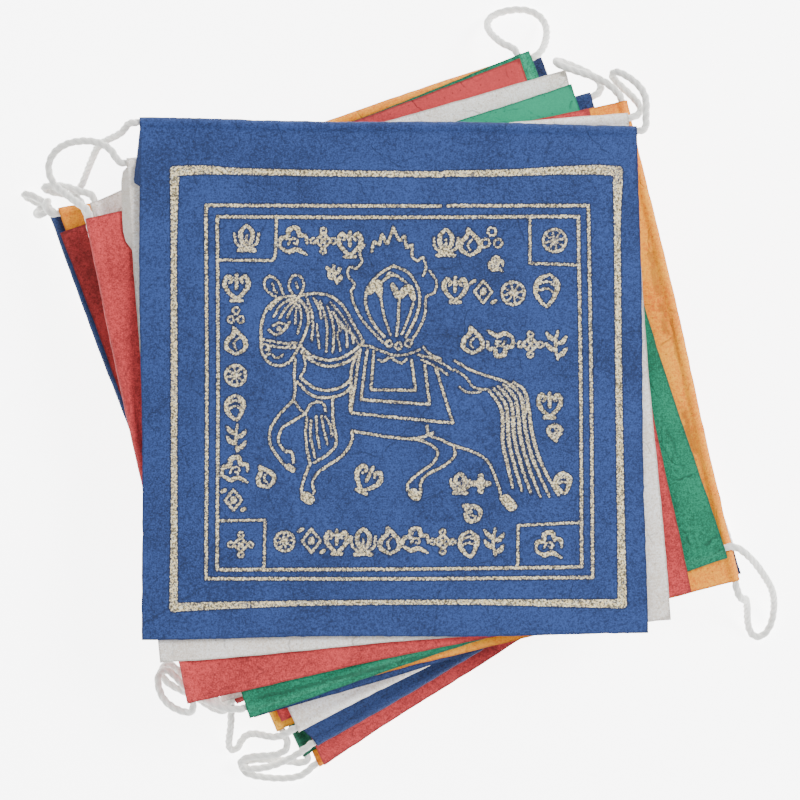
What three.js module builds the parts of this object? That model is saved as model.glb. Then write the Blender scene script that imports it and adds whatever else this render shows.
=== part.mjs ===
// A string of handmade paper prayer flags, folded together into a fanned stack.
// Every flag is a square of paper with one edge turned over the cord as a hem.
// The cord goes round the stack: it leaves each hem at a corner and loops into the next flag's hem.
// Sizes are in millimetres and +Z is up. The origin lies under the middle of the stack, on the surface.

import * as THREE from "three";

// Driving sizes
const SHEET = 1.0; // a flag's thickness, with its own softness and the air in it
const HEM_RISE = 0.35; // how far the cord inside lifts each face of a hem
const HEM_FLAT = 0.7; // half the width of a hem's raised band
const HEM_FOOT = 1.4; // half its width where it meets the flat paper
const CORD = 2.3; // diameter of the twisted cotton cord
const CORD_SIDES = 8;
const CORD_STEP = 2 * CORD;
const CELLS = 6; // cells along each side of a flag's plain field
const SAG = 0.8; // how far the top flag's middle lies below its edges
const SAG_REACH = 72; // radius of that hollow, from the middle of the stack
const RAGGED = 0.4; // how far a torn edge wanders from a straight line

// Colours of the dyed papers and the cord
const COLOURS = { blue: 0x3e62a0, white: 0xd6d2cc, red: 0xc45458, green: 0x3aa482, yellow: 0xf0a858, cord: 0xd8d8d4 };

// The flags from the top of the stack to the bottom.
// hem is the side that holds the cord, and inset is the cord's distance from that edge.
// turn is in degrees, and x, y, z is the middle of the flag's thickness.
// wide and tall are its mean sizes. lean moves its top edge sideways, flare is how much longer
// its bottom edge is than its top edge, and drop how much taller its left side is than its right.
const FLAGS = [
  { paper: "blue", hem: "top", inset: 1.6, turn: -0.1, x: -1, y: 9.9, z: 36.2,
    wide: 150.5, tall: 154.5, lean: -2.3, flare: 2.7, drop: 4.8 },
  { paper: "white", hem: "top", inset: 1.6, turn: 5, x: 0.4, y: 7.1, z: 33.9,
    wide: 152.7, tall: 152.5, lean: 1.8, flare: 2.9, drop: -0.9 },
  { paper: "red", hem: "left", inset: 1.6, turn: 12.4, x: -2, y: 1.9, z: 32.2,
    wide: 155.4, tall: 149, lean: 1.2, flare: 0.1, drop: 0.1 },
  { paper: "green", hem: "bottom", inset: 3.3, turn: 18.5, x: 4.7, y: 3.3, z: 30.5,
    wide: 151.9, tall: 150.5, lean: 0.6, flare: 0, drop: 0 },
  { paper: "yellow", hem: "right", inset: 1.6, turn: 13.3, x: 13.6, y: 4.3, z: 28.2,
    wide: 151.2, tall: 152.7, lean: 0.5, flare: 0.6, drop: 7.6 },
  { paper: "blue", hem: "top", inset: 1.6, turn: 16.6, x: 8.2, y: 2, z: 26.5,
    wide: 153.5, tall: 152.2, lean: -2.2, flare: 0.1, drop: -0.8 },
  { paper: "white", hem: "left", inset: 1.6, turn: 15.6, x: -0.5, y: 7.8, z: 24.2,
    wide: 149.5, tall: 156.4, lean: 2.3, flare: 0, drop: 0 },
  { paper: "red", hem: "bottom", inset: 1.6, turn: 20.8, x: -5.6, y: 9.1, z: 22.5,
    wide: 148.1, tall: 152.7, lean: 1.7, flare: -2.2, drop: -0.1 },
  { paper: "green", hem: "right", inset: 3.6, turn: 21.4, x: -3.9, y: 11.3, z: 20.8,
    wide: 153.8, tall: 149.9, lean: 2.4, flare: 2.7, drop: -2 },
  { paper: "yellow", hem: "top", inset: 1.6, turn: 17.5, x: -6.2, y: 13.3, z: 18.5,
    wide: 149.6, tall: 152.7, lean: -3.9, flare: -2.2, drop: -3.8 },
  { paper: "blue", hem: "left", inset: 1.6, turn: 18, x: -4.1, y: 12.2, z: 16.2,
    wide: 157.1, tall: 152.4, lean: -5.6, flare: -0.8, drop: -0.1 },
  { paper: "white", hem: "bottom", inset: 1.6, turn: 27, x: 0.4, y: 1.3, z: 14.5,
    wide: 141.5, tall: 149.6, lean: 3.4, flare: -4.1, drop: 0 },
  { paper: "red", hem: "right", inset: 1.6, turn: 24.3, x: 2.6, y: 4.2, z: 12.8,
    wide: 148.6, tall: 146, lean: 0.7, flare: 0.4, drop: 7.7 },
  { paper: "green", hem: "top", inset: 1.6, turn: 28.3, x: 2.2, y: 5, z: 11.1,
    wide: 140.5, tall: 146.5, lean: 12.2, flare: -5.3, drop: 7.5 },
  { paper: "yellow", hem: "left", inset: 1.6, turn: 25.3, x: -0.1, y: -0.6, z: 9.4,
    wide: 145.6, tall: 148, lean: 1.6, flare: 2.6, drop: -5.6 },
  { paper: "blue", hem: "bottom", inset: 1.6, turn: 29.8, x: 3.4, y: -0.7, z: 7.7,
    wide: 140, tall: 149.5, lean: 10.8, flare: -4.7, drop: 0.9 },
  { paper: "white", hem: "right", inset: 1.6, turn: 27, x: 2.8, y: 2.4, z: 6,
    wide: 140.3, tall: 144.5, lean: -0.5, flare: 6.6, drop: 4.2 },
  { paper: "red", hem: "top", inset: 1.6, turn: 33.2, x: 3.2, y: -3.7, z: 4.3,
    wide: 137.6, tall: 149, lean: 18.5, flare: 2.1, drop: -0.8 },
  { paper: "green", hem: "left", inset: 1.6, turn: 32.6, x: -1.6, y: -5.3, z: 2.6,
    wide: 138.3, tall: 144.4, lean: 16.5, flare: -1.3, drop: -5.4 },
  { paper: "yellow", hem: "bottom", inset: 1.6, turn: 33.5, x: 2.2, y: -4.9, z: 0.5,
    wide: 138.1, tall: 148, lean: 19.4, flare: 1.6, drop: -2.6 },
];

// The cord's routes from hem to hem, and its two free ends.
const ROUTES = {
  tail_start: [
    [-77, 86.9, 36], [-78.3, 86.9, 36], [-79.5, 86.8, 35.1], [-80.4, 86.7, 33.4], [-81.6, 84.9, 31.2],
    [-84, 83.5, 28.2], [-87.3, 82.4, 24], [-90.4, 80.6, 19.5], [-92.4, 77.5, 14.5], [-94.2, 74.4, 9.5],
    [-95.8, 71.3, 5], [-97.4, 68.4, 2.3], [-98.5, 66, 1.3], [-99.5, 65, 1.2],
  ],
  link_01_02: [
    [73, 84.2, 35.9], [74.3, 84.2, 35.9], [75.5, 85.1, 35.73], [75.3, 88.3, 35.1], [75.6, 92.6, 33.8],
    [75.1, 95.7, 32.8], [73.2, 98.6, 31.6], [69.7, 101.5, 29.6], [66.5, 103, 27.4], [65.4, 102, 25.05],
    [67.1, 100, 23.8], [69.9, 97.3, 25.05], [73.1, 93.7, 28.2], [74.3, 90.8, 31.2], [72.9, 89.2, 33.09],
    [71.8, 88.5, 33.8], [70.5, 88.4, 33.8],
  ],
  link_02_03: [
    [-81, 74.7, 33.7], [-82.3, 74.6, 33.7], [-83.5, 75.4, 33.55], [-85.1, 78.6, 33], [-87.9, 80.5, 32],
    [-91, 81.6, 30.6], [-94.8, 81.8, 29], [-99.2, 81.1, 27], [-102.9, 79, 24.47], [-105.1, 75.5, 22.9],
    [-105, 72.2, 22.4], [-103.5, 69.1, 22.9], [-100.6, 66.6, 24.2], [-97.4, 64.2, 27],
    [-94.4, 62.1, 29.5], [-92.8, 61.2, 31.28], [-92.1, 60.1, 32], [-91.8, 58.9, 32],
  ],
  link_03_04: [
    [-60.8, -87.8, 32], [-60.6, -89, 32], [-60.9, -90.3, 31.31], [-62.9, -90.7, 28.9],
    [-65.3, -90.2, 27.4], [-67.8, -89, 25.64], [-70.3, -86.9, 23.4], [-71.8, -83.7, 21.7],
    [-72.1, -80.4, 20.9], [-70.7, -78.1, 20.9], [-68.5, -78.6, 21.3], [-66.5, -80.6, 21.9],
    [-64.5, -82.5, 22.9], [-62, -84.6, 24.47], [-59.1, -86.2, 26.6], [-56.2, -87.6, 28],
    [-53.1, -88.9, 29.1], [-49.8, -89.8, 29.8], [-47.7, -89.6, 30.05], [-46.4, -89.7, 30.3],
    [-45.1, -89.2, 30.3],
  ],
  link_04_05: [
    [99.7, -40.8, 30.4], [100.9, -40.4, 30.5], [102.6, -40.6, 30.5], [104.4, -41.6, 29.8],
    [106.6, -43.4, 27.8], [109.5, -46.3, 24], [112.4, -50.1, 19.5], [114.9, -53.8, 14],
    [116.2, -57.6, 8.8], [116.5, -61.5, 4.6], [116, -65.3, 2.2], [114.6, -68.2, 1.3],
    [112.6, -69.7, 1.2], [110.5, -69.4, 1.4], [109.1, -67, 2.8], [108.3, -63.6, 6],
    [107.9, -60.1, 10.4], [107, -57.2, 16], [106.3, -57, 20.6], [105.2, -56.8, 24.6],
    [103.9, -55.6, 27.2], [103.1, -53.2, 28.1], [102.8, -51.6, 28.1],
  ],
  link_05_06: [
    [68.5, 94.2, 28.1], [68.2, 95.5, 28.1], [67.1, 96.5, 28.2], [66, 97.7, 28.3], [63.4, 99.7, 27.9],
    [60.4, 101.1, 27.5], [57, 102.3, 27.2], [53.5, 103.4, 27.1], [50.5, 104.5, 27],
    [48.7, 105.7, 25.64], [48.8, 106.6, 22.8], [50.7, 106.3, 21.2], [53.8, 105.2, 20.8],
    [57.2, 103.7, 21.2], [60.4, 101.8, 22], [62.5, 99.6, 23.2], [61.9, 96.7, 25.69], [61, 95.7, 26.3],
    [59.7, 95.3, 26.3],
  ],
  link_06_07: [
    [-88, 50.9, 26.6], [-89.2, 50.5, 26.6], [-90.6, 51, 26.48], [-92.1, 54.7, 25.93],
    [-92.6, 57.5, 25.35], [-93.6, 60.4, 24.2], [-94.8, 62.9, 22.4], [-97, 65.5, 20.1],
    [-99.7, 66.3, 17.2], [-102.6, 66.7, 15.2], [-105.4, 67.3, 14.6], [-107, 68, 15.8], [-107, 68.5, 18],
    [-105.4, 68.8, 19.3], [-103.6, 68.9, 19.6], [-100.8, 68.6, 20], [-97.7, 67.8, 21],
    [-94.5, 66.5, 22.6], [-92.4, 66.4, 23.68], [-91.3, 65.4, 24.1], [-91, 64.1, 24.1],
  ],
  link_07_08: [
    [-50.9, -87.9, 24.2], [-50.6, -89.2, 24.2], [-51.2, -90.7, 23.7], [-54.8, -90.2, 21.6],
    [-57.8, -88.5, 20.4], [-60.9, -86.6, 19], [-64.2, -85.2, 17.6], [-67.4, -83.9, 16.2],
    [-70.2, -82, 15], [-71.7, -79.7, 14], [-71, -77.6, 13.4], [-68.8, -77.1, 13.4], [-66.5, -78.7, 14],
    [-64.3, -81.1, 15], [-61.9, -83.3, 16.4], [-59.3, -85.2, 17.7], [-56.5, -86.6, 18.8],
    [-53.7, -87.6, 19.8], [-52.2, -88.7, 22], [-50.2, -87.8, 22.5], [-48.9, -87.3, 22.5],
  ],
  link_08_09: [
    [89.3, -34.8, 22.5], [90.6, -34.4, 22.5], [93, -33.9, 22.5], [95.6, -34.7, 21.4], [97.6, -37, 19],
    [98.6, -40, 16.2], [98.9, -43.2, 13.4], [97.9, -45.8, 11.6], [96.1, -44.8, 12.2], [95, -41.9, 14.4],
    [94.6, -38.8, 17], [93.7, -36.4, 19.6], [92, -34.1, 20.7], [91.5, -32.8, 20.7],
  ],
  link_09_10: [
    [37.2, 108.8, 20.7], [36.7, 110.1, 20.7], [35.7, 110.9, 20.11], [33.5, 111.7, 18.6],
    [31, 113.9, 15], [28.9, 116.5, 10.8], [28.3, 119.2, 6.8], [29.4, 121.5, 3.6], [32.1, 123.1, 1.7],
    [35.8, 124, 1.2], [39.8, 124.1, 1.2], [43.5, 122.9, 1.6], [45.9, 120.2, 3.6], [46.6, 116.8, 7.2],
    [46, 113.2, 11.6], [44.9, 110.5, 15.8], [43.7, 108.9, 17.6], [42.7, 108.1, 18.4],
    [41.5, 107.7, 18.4],
  ],
  link_10_11: [
    [-102.5, 60.3, 18.5], [-103.8, 59.9, 18.5], [-105.7, 60.8, 18.9], [-106.4, 63, 17.8],
    [-106.2, 64.4, 13.6], [-106.5, 64.3, 10], [-107.6, 63.4, 7.6], [-109.3, 62.2, 7.2],
    [-110.2, 61.1, 8.8], [-109.6, 60.3, 11.6], [-107.6, 60.2, 14.2], [-105.4, 62.4, 15.52],
    [-104.3, 61.5, 15.9], [-103.8, 60.3, 15.9],
  ],
  link_11_12: [
    [-50.8, -83.5, 16.1], [-50.3, -84.7, 16.1], [-50.4, -86, 15.39], [-50.1, -88.6, 14.6],
    [-50.2, -92.5, 12.6], [-50.4, -96.3, 10], [-51, -100, 6.6], [-51.3, -102.9, 3.4],
    [-50.7, -104.7, 1.6], [-49.3, -104.8, 1.2], [-48.2, -103.2, 1.3], [-47.4, -101.2, 2],
    [-45.8, -99.5, 3.4], [-43.4, -99, 5.2], [-40.7, -99.3, 7.4], [-37.9, -99.7, 9.8],
    [-35.1, -99.3, 12], [-32.5, -97.8, 13.51], [-31.5, -97.1, 14.4], [-30.4, -96.5, 14.4],
  ],
  link_12_13: [
    [94.7, -32.8, 14.5], [95.8, -32.7, 14.5], [97.3, -34.4, 14], [98.6, -37.2, 12], [98.6, -40.4, 9.6],
    [98.7, -43.1, 7.4], [99.8, -45.5, 5.4], [101.7, -46.1, 4.8], [103, -44.2, 5.6], [102.9, -41.1, 7.2],
    [101.9, -38, 9.2], [100.6, -34.8, 11], [99.4, -33.3, 11.89], [98.6, -32.4, 12.7],
    [98.1, -31.2, 12.7],
  ],
  link_13_14: [
    [39.7, 99.4, 12.7], [39.1, 100.6, 12.7], [42.4, 104, 11.4], [44.3, 102.9, 9.8], [45.3, 100.5, 8],
    [45.5, 97.7, 6.3], [44.6, 95, 5], [42.6, 94, 4.4], [40.6, 95.2, 4.8], [39.6, 97.7, 5.9],
    [39.7, 100.5, 7.6], [40.2, 104, 10.2], [38.8, 104, 10.8], [37.7, 103.4, 10.8],
  ],
  link_14_15: [
    [-90.8, 38.4, 10.9], [-91.9, 37.8, 10.9], [-94.7, 41.8, 9.3], [-96.3, 45.8, 7.5],
    [-98.6, 50.7, 5.6], [-101.1, 55.2, 3.6], [-103.9, 59.3, 2], [-107.2, 62.5, 1.2],
    [-110.6, 64.5, 1.2], [-113.2, 65.9, 1.2], [-114.6, 66.7, 2], [-114.4, 67.2, 3.8],
    [-112.6, 66.9, 4.7], [-109.8, 65.5, 4.5], [-107, 63.5, 4.1], [-104.9, 60.4, 4.6],
    [-103.2, 55.9, 5.6], [-101.4, 50.9, 6.6], [-99.4, 46, 7.6], [-97.7, 41.7, 8.5], [-95.6, 37.8, 8.9],
    [-94.9, 36.8, 9.3], [-94.4, 35.6, 9.3],
  ],
  link_15_16: [
    [-34.6, -97.7, 9.1], [-34, -98.9, 9.1], [-33.6, -100, 8.6], [-32.8, -102, 8.1],
    [-33.4, -103.9, 7.8], [-35.5, -105.1, 7.6], [-38.4, -105.6, 7.4], [-41.5, -105.8, 7.2],
    [-44.4, -106, 7], [-46.8, -106.8, 6.4], [-48, -108.2, 5.3], [-47, -109.7, 4.3],
    [-44.2, -110.1, 3.9], [-40.4, -109.7, 3.9], [-36.4, -108.5, 4.5], [-32.6, -106.8, 5.6],
    [-29.2, -104.7, 6.8], [-26.8, -102.9, 7.2], [-25.9, -102.1, 7.6], [-24.8, -101.4, 7.6],
  ],
  link_16_17: [
    [95.2, -32.2, 7.6], [96.3, -31.8, 7.6], [97.6, -33.2, 6.9], [98, -35.6, 5.4], [97.9, -38.3, 3.8],
    [98.2, -41.1, 2.4], [99.1, -43.5, 1.5], [100.6, -43.8, 1.2], [101.8, -41.9, 1.2], [102.1, -39, 1.6],
    [101.6, -35.7, 2.6], [100.3, -32.7, 4], [99.4, -31.5, 4.85], [98.7, -30.6, 5.7], [98.1, -29.4, 5.7],
  ],
  link_17_18: [
    [29.7, 96.5, 6], [29.1, 97.6, 6], [32.9, 101.1, 4.6], [35.4, 100.8, 3.4], [37.4, 99.1, 2.2],
    [38.7, 96.5, 1.3], [38.8, 93.8, 1.2], [37.2, 92.1, 1.2], [35.2, 92.8, 1.2], [33.8, 95.1, 1.2],
    [32.4, 97.6, 1.4], [30.7, 100.7, 3.54], [29.2, 100.7, 4], [28.2, 100, 4],
  ],
  link_18_19: [
    [-86.6, 24.5, 4.45], [-87.6, 24.1, 4.5], [-88.9, 25.2, 4.3], [-89.6, 27.8, 3.2], [-90.1, 30.1, 2.2],
    [-91.3, 33.1, 1.5], [-92.7, 35.9, 1.2], [-93.9, 38.5, 1.2], [-95.4, 40, 1.2], [-97.1, 39.4, 1.2],
    [-97.1, 37.3, 1.2], [-96, 34.8, 1.2], [-94.6, 32, 1.2], [-93.1, 28.9, 1.3], [-91.2, 24.9, 1.95],
    [-90.8, 23.8, 2.6], [-90.2, 22.7, 2.6],
  ],
  link_19_20: [
    [-26.8, -106.1, 2.6], [-26.5, -107, 2.6], [-27.9, -108.4, 2.2], [-30.6, -108.2, 1.4],
    [-33.1, -107.9, 1.2], [-36.2, -107.5, 1.2], [-39.9, -107.4, 1.2], [-43.6, -107.4, 1.2],
    [-46.4, -108.1, 1.2], [-47.7, -109.5, 1.2], [-46.8, -111.1, 1.2], [-44.3, -112.2, 1.2],
    [-40.8, -112.8, 1.2], [-36.5, -113.2, 1.2], [-32.5, -113.1, 1.2], [-28.8, -112.3, 1.2],
    [-26.2, -110.2, 1.25], [-25.4, -109.2, 1.3], [-24.3, -108.5, 1.3],
  ],
  tail_end: [
    [92.8, -32.5, 1.3], [93.9, -31.8, 1.3], [94.4, -30.4, 1.27], [94.9, -27, 1.2], [93.5, -23.9, 1.2],
    [91.8, -20.5, 1.2], [90.1, -17.1, 1.2], [88.6, -13.7, 1.2], [87.2, -10.3, 1.2], [85.8, -6.9, 1.2],
    [84.6, -3.8, 1.2],
  ],
};

const TOP = FLAGS[0].z;
const FLOOR_FLAG = FLAGS[FLAGS.length - 1].z;

// How far the sheet lies below its own level, where the hems at the edges leave the middle hollow.
function sag(x, y, z) {
  const share = (z - FLOOR_FLAG) / (TOP - FLOOR_FLAG);
  const near = Math.max(0, 1 - (x * x + y * y) / (SAG_REACH * SAG_REACH));
  return SAG * share * near * near;
}

// A point on a flag, where u and v run from -0.5 to 0.5 to the right and up.
function onFlag(flag, u, v) {
  const wander = RAGGED * Math.sin(7 * v + flag.turn) * (1 - 4 * v * v) * 2 * u;
  const ripple = RAGGED * Math.sin(8 * u + flag.turn) * (1 - 4 * u * u) * 2 * v;
  const x = u * (flag.wide - flag.flare * v) + flag.lean * v + wander;
  const y = v * (flag.tall - flag.drop * u) + ripple;
  const angle = THREE.MathUtils.degToRad(flag.turn);
  return [
    flag.x + x * Math.cos(angle) - y * Math.sin(angle),
    flag.y + x * Math.sin(angle) + y * Math.cos(angle),
  ];
}

// Distances from the hem's edge at which the sheet has a row of points, and how high it stands there.
function rowsAcross(inset, depth) {
  const rows = [
    { at: 0, rise: 0 },
    { at: inset - HEM_FOOT, rise: 0 },
    { at: inset - HEM_FLAT, rise: 1 },
    { at: inset + HEM_FLAT, rise: 1 },
    { at: inset + HEM_FOOT, rise: 0 },
  ];
  const start = inset + HEM_FOOT;
  for (let i = 1; i <= CELLS; i++) {
    rows.push({ at: start + ((depth - start) * i) / CELLS, rise: 0 });
  }
  return rows;
}

// Turns a distance across and a share along the hem into the flag's own u and v.
const FROM_HEM = {
  top: (across, along) => [along - 0.5, 0.5 - across],
  bottom: (across, along) => [along - 0.5, across - 0.5],
  left: (across, along) => [across - 0.5, along - 0.5],
  right: (across, along) => [0.5 - across, along - 0.5],
};

// One closed sheet: an upper and a lower face of the same grid, and a wall round its rim.
function flagGeometry(flag) {
  const depth = flag.hem === "top" || flag.hem === "bottom" ? flag.tall : flag.wide;
  const across = rowsAcross(flag.inset, depth);
  const points = [];
  for (const side of [1, -1]) {
    for (const row of across) {
      for (let j = 0; j <= CELLS; j++) {
        const [u, v] = FROM_HEM[flag.hem](row.at / depth, j / CELLS);
        const [x, y] = onFlag(flag, u, v);
        const flatUnder = side < 0 && flag.z === FLOOR_FLAG;
        const rise = flatUnder ? 0 : row.rise * HEM_RISE;
        points.push(x, y, flag.z - sag(x, y, flag.z) + side * (SHEET / 2 + rise));
      }
    }
  }
  const perRow = CELLS + 1;
  const perFace = across.length * perRow;
  const faces = [];
  const quad = (a, b, c, d) => faces.push(a, b, c, a, c, d);
  for (let i = 0; i + 1 < across.length; i++) {
    for (let j = 0; j < CELLS; j++) {
      const a = i * perRow + j;
      quad(a, a + 1, a + perRow + 1, a + perRow);
      quad(perFace + a, perFace + a + perRow, perFace + a + perRow + 1, perFace + a + 1);
    }
  }
  const rim = [];
  for (let j = 0; j < CELLS; j++) rim.push(j);
  for (let i = 0; i + 1 < across.length; i++) rim.push(i * perRow + CELLS);
  for (let j = CELLS; j > 0; j--) rim.push(perFace - perRow + j);
  for (let i = across.length - 1; i > 0; i--) rim.push(i * perRow);
  rim.forEach((a, i) => {
    const b = rim[(i + 1) % rim.length];
    quad(b, a, perFace + a, perFace + b);
  });
  const clockwise = flag.hem === "top" || flag.hem === "left";
  if (clockwise) faces.reverse();
  const geometry = new THREE.BufferGeometry();
  geometry.setAttribute("position", new THREE.Float32BufferAttribute(points, 3));
  geometry.setIndex(faces);
  return geometry;
}

// A round cord along a smooth curve through the points of its route.
function cordGeometry(route) {
  const curve = new THREE.CatmullRomCurve3(route.map((p) => new THREE.Vector3(...p)), false, "centripetal");
  const section = new THREE.Shape();
  for (let i = 0; i < CORD_SIDES; i++) {
    const angle = ((i + 0.5) * 2 * Math.PI) / CORD_SIDES;
    const x = (CORD / 2) * Math.cos(angle);
    const y = (CORD / 2) * Math.sin(angle);
    if (i === 0) section.moveTo(x, y);
    else section.lineTo(x, y);
  }
  section.closePath();
  const steps = Math.round(curve.getLength() / CORD_STEP);
  return new THREE.ExtrudeGeometry(section, { steps, bevelEnabled: false, extrudePath: curve });
}

function part(name, geometry, colour) {
  const material = new THREE.MeshStandardMaterial({ color: colour, roughness: 0.95, metalness: 0 });
  const mesh = new THREE.Mesh(geometry, material);
  mesh.name = name;
  return mesh;
}

const string = new THREE.Group();
FLAGS.forEach((flag, i) => {
  const number = String(i + 1).padStart(2, "0");
  string.add(part(`flag_${number}_${flag.paper}`, flagGeometry(flag), COLOURS[flag.paper]));
});
for (const [name, route] of Object.entries(ROUTES)) {
  string.add(part(name, cordGeometry(route), COLOURS.cord));
}

export default string;
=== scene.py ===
"""A string of handmade paper prayer flags on a twisted cotton cord, folded into a fanned stack.

Sizes are in metres and +Z is up. The stack lies on the floor, and its middle is at the origin.
"""

import math
from collections import namedtuple

import bpy
import numpy as np
from bpy.props import FloatProperty, FloatVectorProperty, PointerProperty
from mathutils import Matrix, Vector, noise


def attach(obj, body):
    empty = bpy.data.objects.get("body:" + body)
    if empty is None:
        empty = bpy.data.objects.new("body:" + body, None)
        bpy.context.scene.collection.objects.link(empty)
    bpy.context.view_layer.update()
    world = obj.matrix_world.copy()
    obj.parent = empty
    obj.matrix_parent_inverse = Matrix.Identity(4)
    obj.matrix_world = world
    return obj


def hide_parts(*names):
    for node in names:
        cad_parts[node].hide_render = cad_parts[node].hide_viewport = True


bl_info = {
    "name": "Folded Paper Flag String",
    "version": (1, 0, 0),
    "blender": (4, 5, 0),
    "location": "View3D > Sidebar > Flags",
    "description": "Makes a string of paper prayer flags, folded into a fanned stack with its cord",
    "category": "Add Mesh",
}

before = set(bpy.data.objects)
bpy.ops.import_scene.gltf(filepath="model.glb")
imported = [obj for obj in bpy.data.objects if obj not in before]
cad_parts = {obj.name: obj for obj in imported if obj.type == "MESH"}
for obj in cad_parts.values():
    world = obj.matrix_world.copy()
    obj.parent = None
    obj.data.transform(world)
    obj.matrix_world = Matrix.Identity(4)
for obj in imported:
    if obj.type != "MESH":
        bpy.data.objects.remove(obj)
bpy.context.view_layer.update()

MM = 0.001

# The flags, from the top of the stack to the bottom, as in the part.
# hem is the side that holds the cord, and inset is the cord's distance from that edge. turn is in
# degrees. x, y and z is the middle of the sheet. wide and tall are its mean sizes. lean moves its top
# edge sideways, flare is how much longer its bottom edge is than its top edge, and drop how much
# taller its left side is than its right.
Flag = namedtuple("Flag", "paper hem inset turn x y z wide tall lean flare drop")
FLAGS = [
    Flag("blue", "top", 0.0016, -0.1, -0.001, 0.0099, 0.0362, 0.1505, 0.1545, -0.0023, 0.0027, 0.0048),
    Flag("white", "top", 0.0016, 5, 0.0004, 0.0071, 0.0339, 0.1527, 0.1525, 0.0018, 0.0029, -0.0009),
    Flag("red", "left", 0.0016, 12.4, -0.002, 0.0019, 0.0322, 0.1554, 0.149, 0.0012, 0.0001, 0.0001),
    Flag("green", "bottom", 0.0033, 18.5, 0.0047, 0.0033, 0.0305, 0.1519, 0.1505, 0.0006, 0, 0),
    Flag("yellow", "right", 0.0016, 13.3, 0.0136, 0.0043, 0.0282, 0.1512, 0.1527, 0.0005, 0.0006, 0.0076),
    Flag("blue", "top", 0.0016, 16.6, 0.0082, 0.002, 0.0265, 0.1535, 0.1522, -0.0022, 0.0001, -0.0008),
    Flag("white", "left", 0.0016, 15.6, -0.0005, 0.0078, 0.0242, 0.1495, 0.1564, 0.0023, 0, 0),
    Flag("red", "bottom", 0.0016, 20.8, -0.0056, 0.0091, 0.0225, 0.1481, 0.1527, 0.0017, -0.0022, -0.0001),
    Flag("green", "right", 0.0036, 21.4, -0.0039, 0.0113, 0.0208, 0.1538, 0.1499, 0.0024, 0.0027, -0.002),
    Flag("yellow", "top", 0.0016, 17.5, -0.0062, 0.0133, 0.0185, 0.1496, 0.1527, -0.0039, -0.0022, -0.0038),
    Flag("blue", "left", 0.0016, 18, -0.0041, 0.0122, 0.0162, 0.1571, 0.1524, -0.0056, -0.0008, -0.0001),
    Flag("white", "bottom", 0.0016, 27, 0.0004, 0.0013, 0.0145, 0.1415, 0.1496, 0.0034, -0.0041, 0),
    Flag("red", "right", 0.0016, 24.3, 0.0026, 0.0042, 0.0128, 0.1486, 0.146, 0.0007, 0.0004, 0.0077),
    Flag("green", "top", 0.0016, 28.3, 0.0022, 0.005, 0.0111, 0.1405, 0.1465, 0.0122, -0.0053, 0.0075),
    Flag("yellow", "left", 0.0016, 25.3, -0.0001, -0.0006, 0.0094, 0.1456, 0.148, 0.0016, 0.0026, -0.0056),
    Flag("blue", "bottom", 0.0016, 29.8, 0.0034, -0.0007, 0.0077, 0.14, 0.1495, 0.0108, -0.0047, 0.0009),
    Flag("white", "right", 0.0016, 27, 0.0028, 0.0024, 0.006, 0.1403, 0.1445, -0.0005, 0.0066, 0.0042),
    Flag("red", "top", 0.0016, 33.2, 0.0032, -0.0037, 0.0043, 0.1376, 0.149, 0.0185, 0.0021, -0.0008),
    Flag("green", "left", 0.0016, 32.6, -0.0016, -0.0053, 0.0026, 0.1383, 0.1444, 0.0165, -0.0013, -0.0054),
    Flag("yellow", "bottom", 0.0016, 33.5, 0.0022, -0.0049, 0.0005, 0.1381, 0.148, 0.0194, 0.0016, -0.0026),
]
TOP_FLAG = FLAGS[0]
FLOOR_FLAG = FLAGS[-1]

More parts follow.
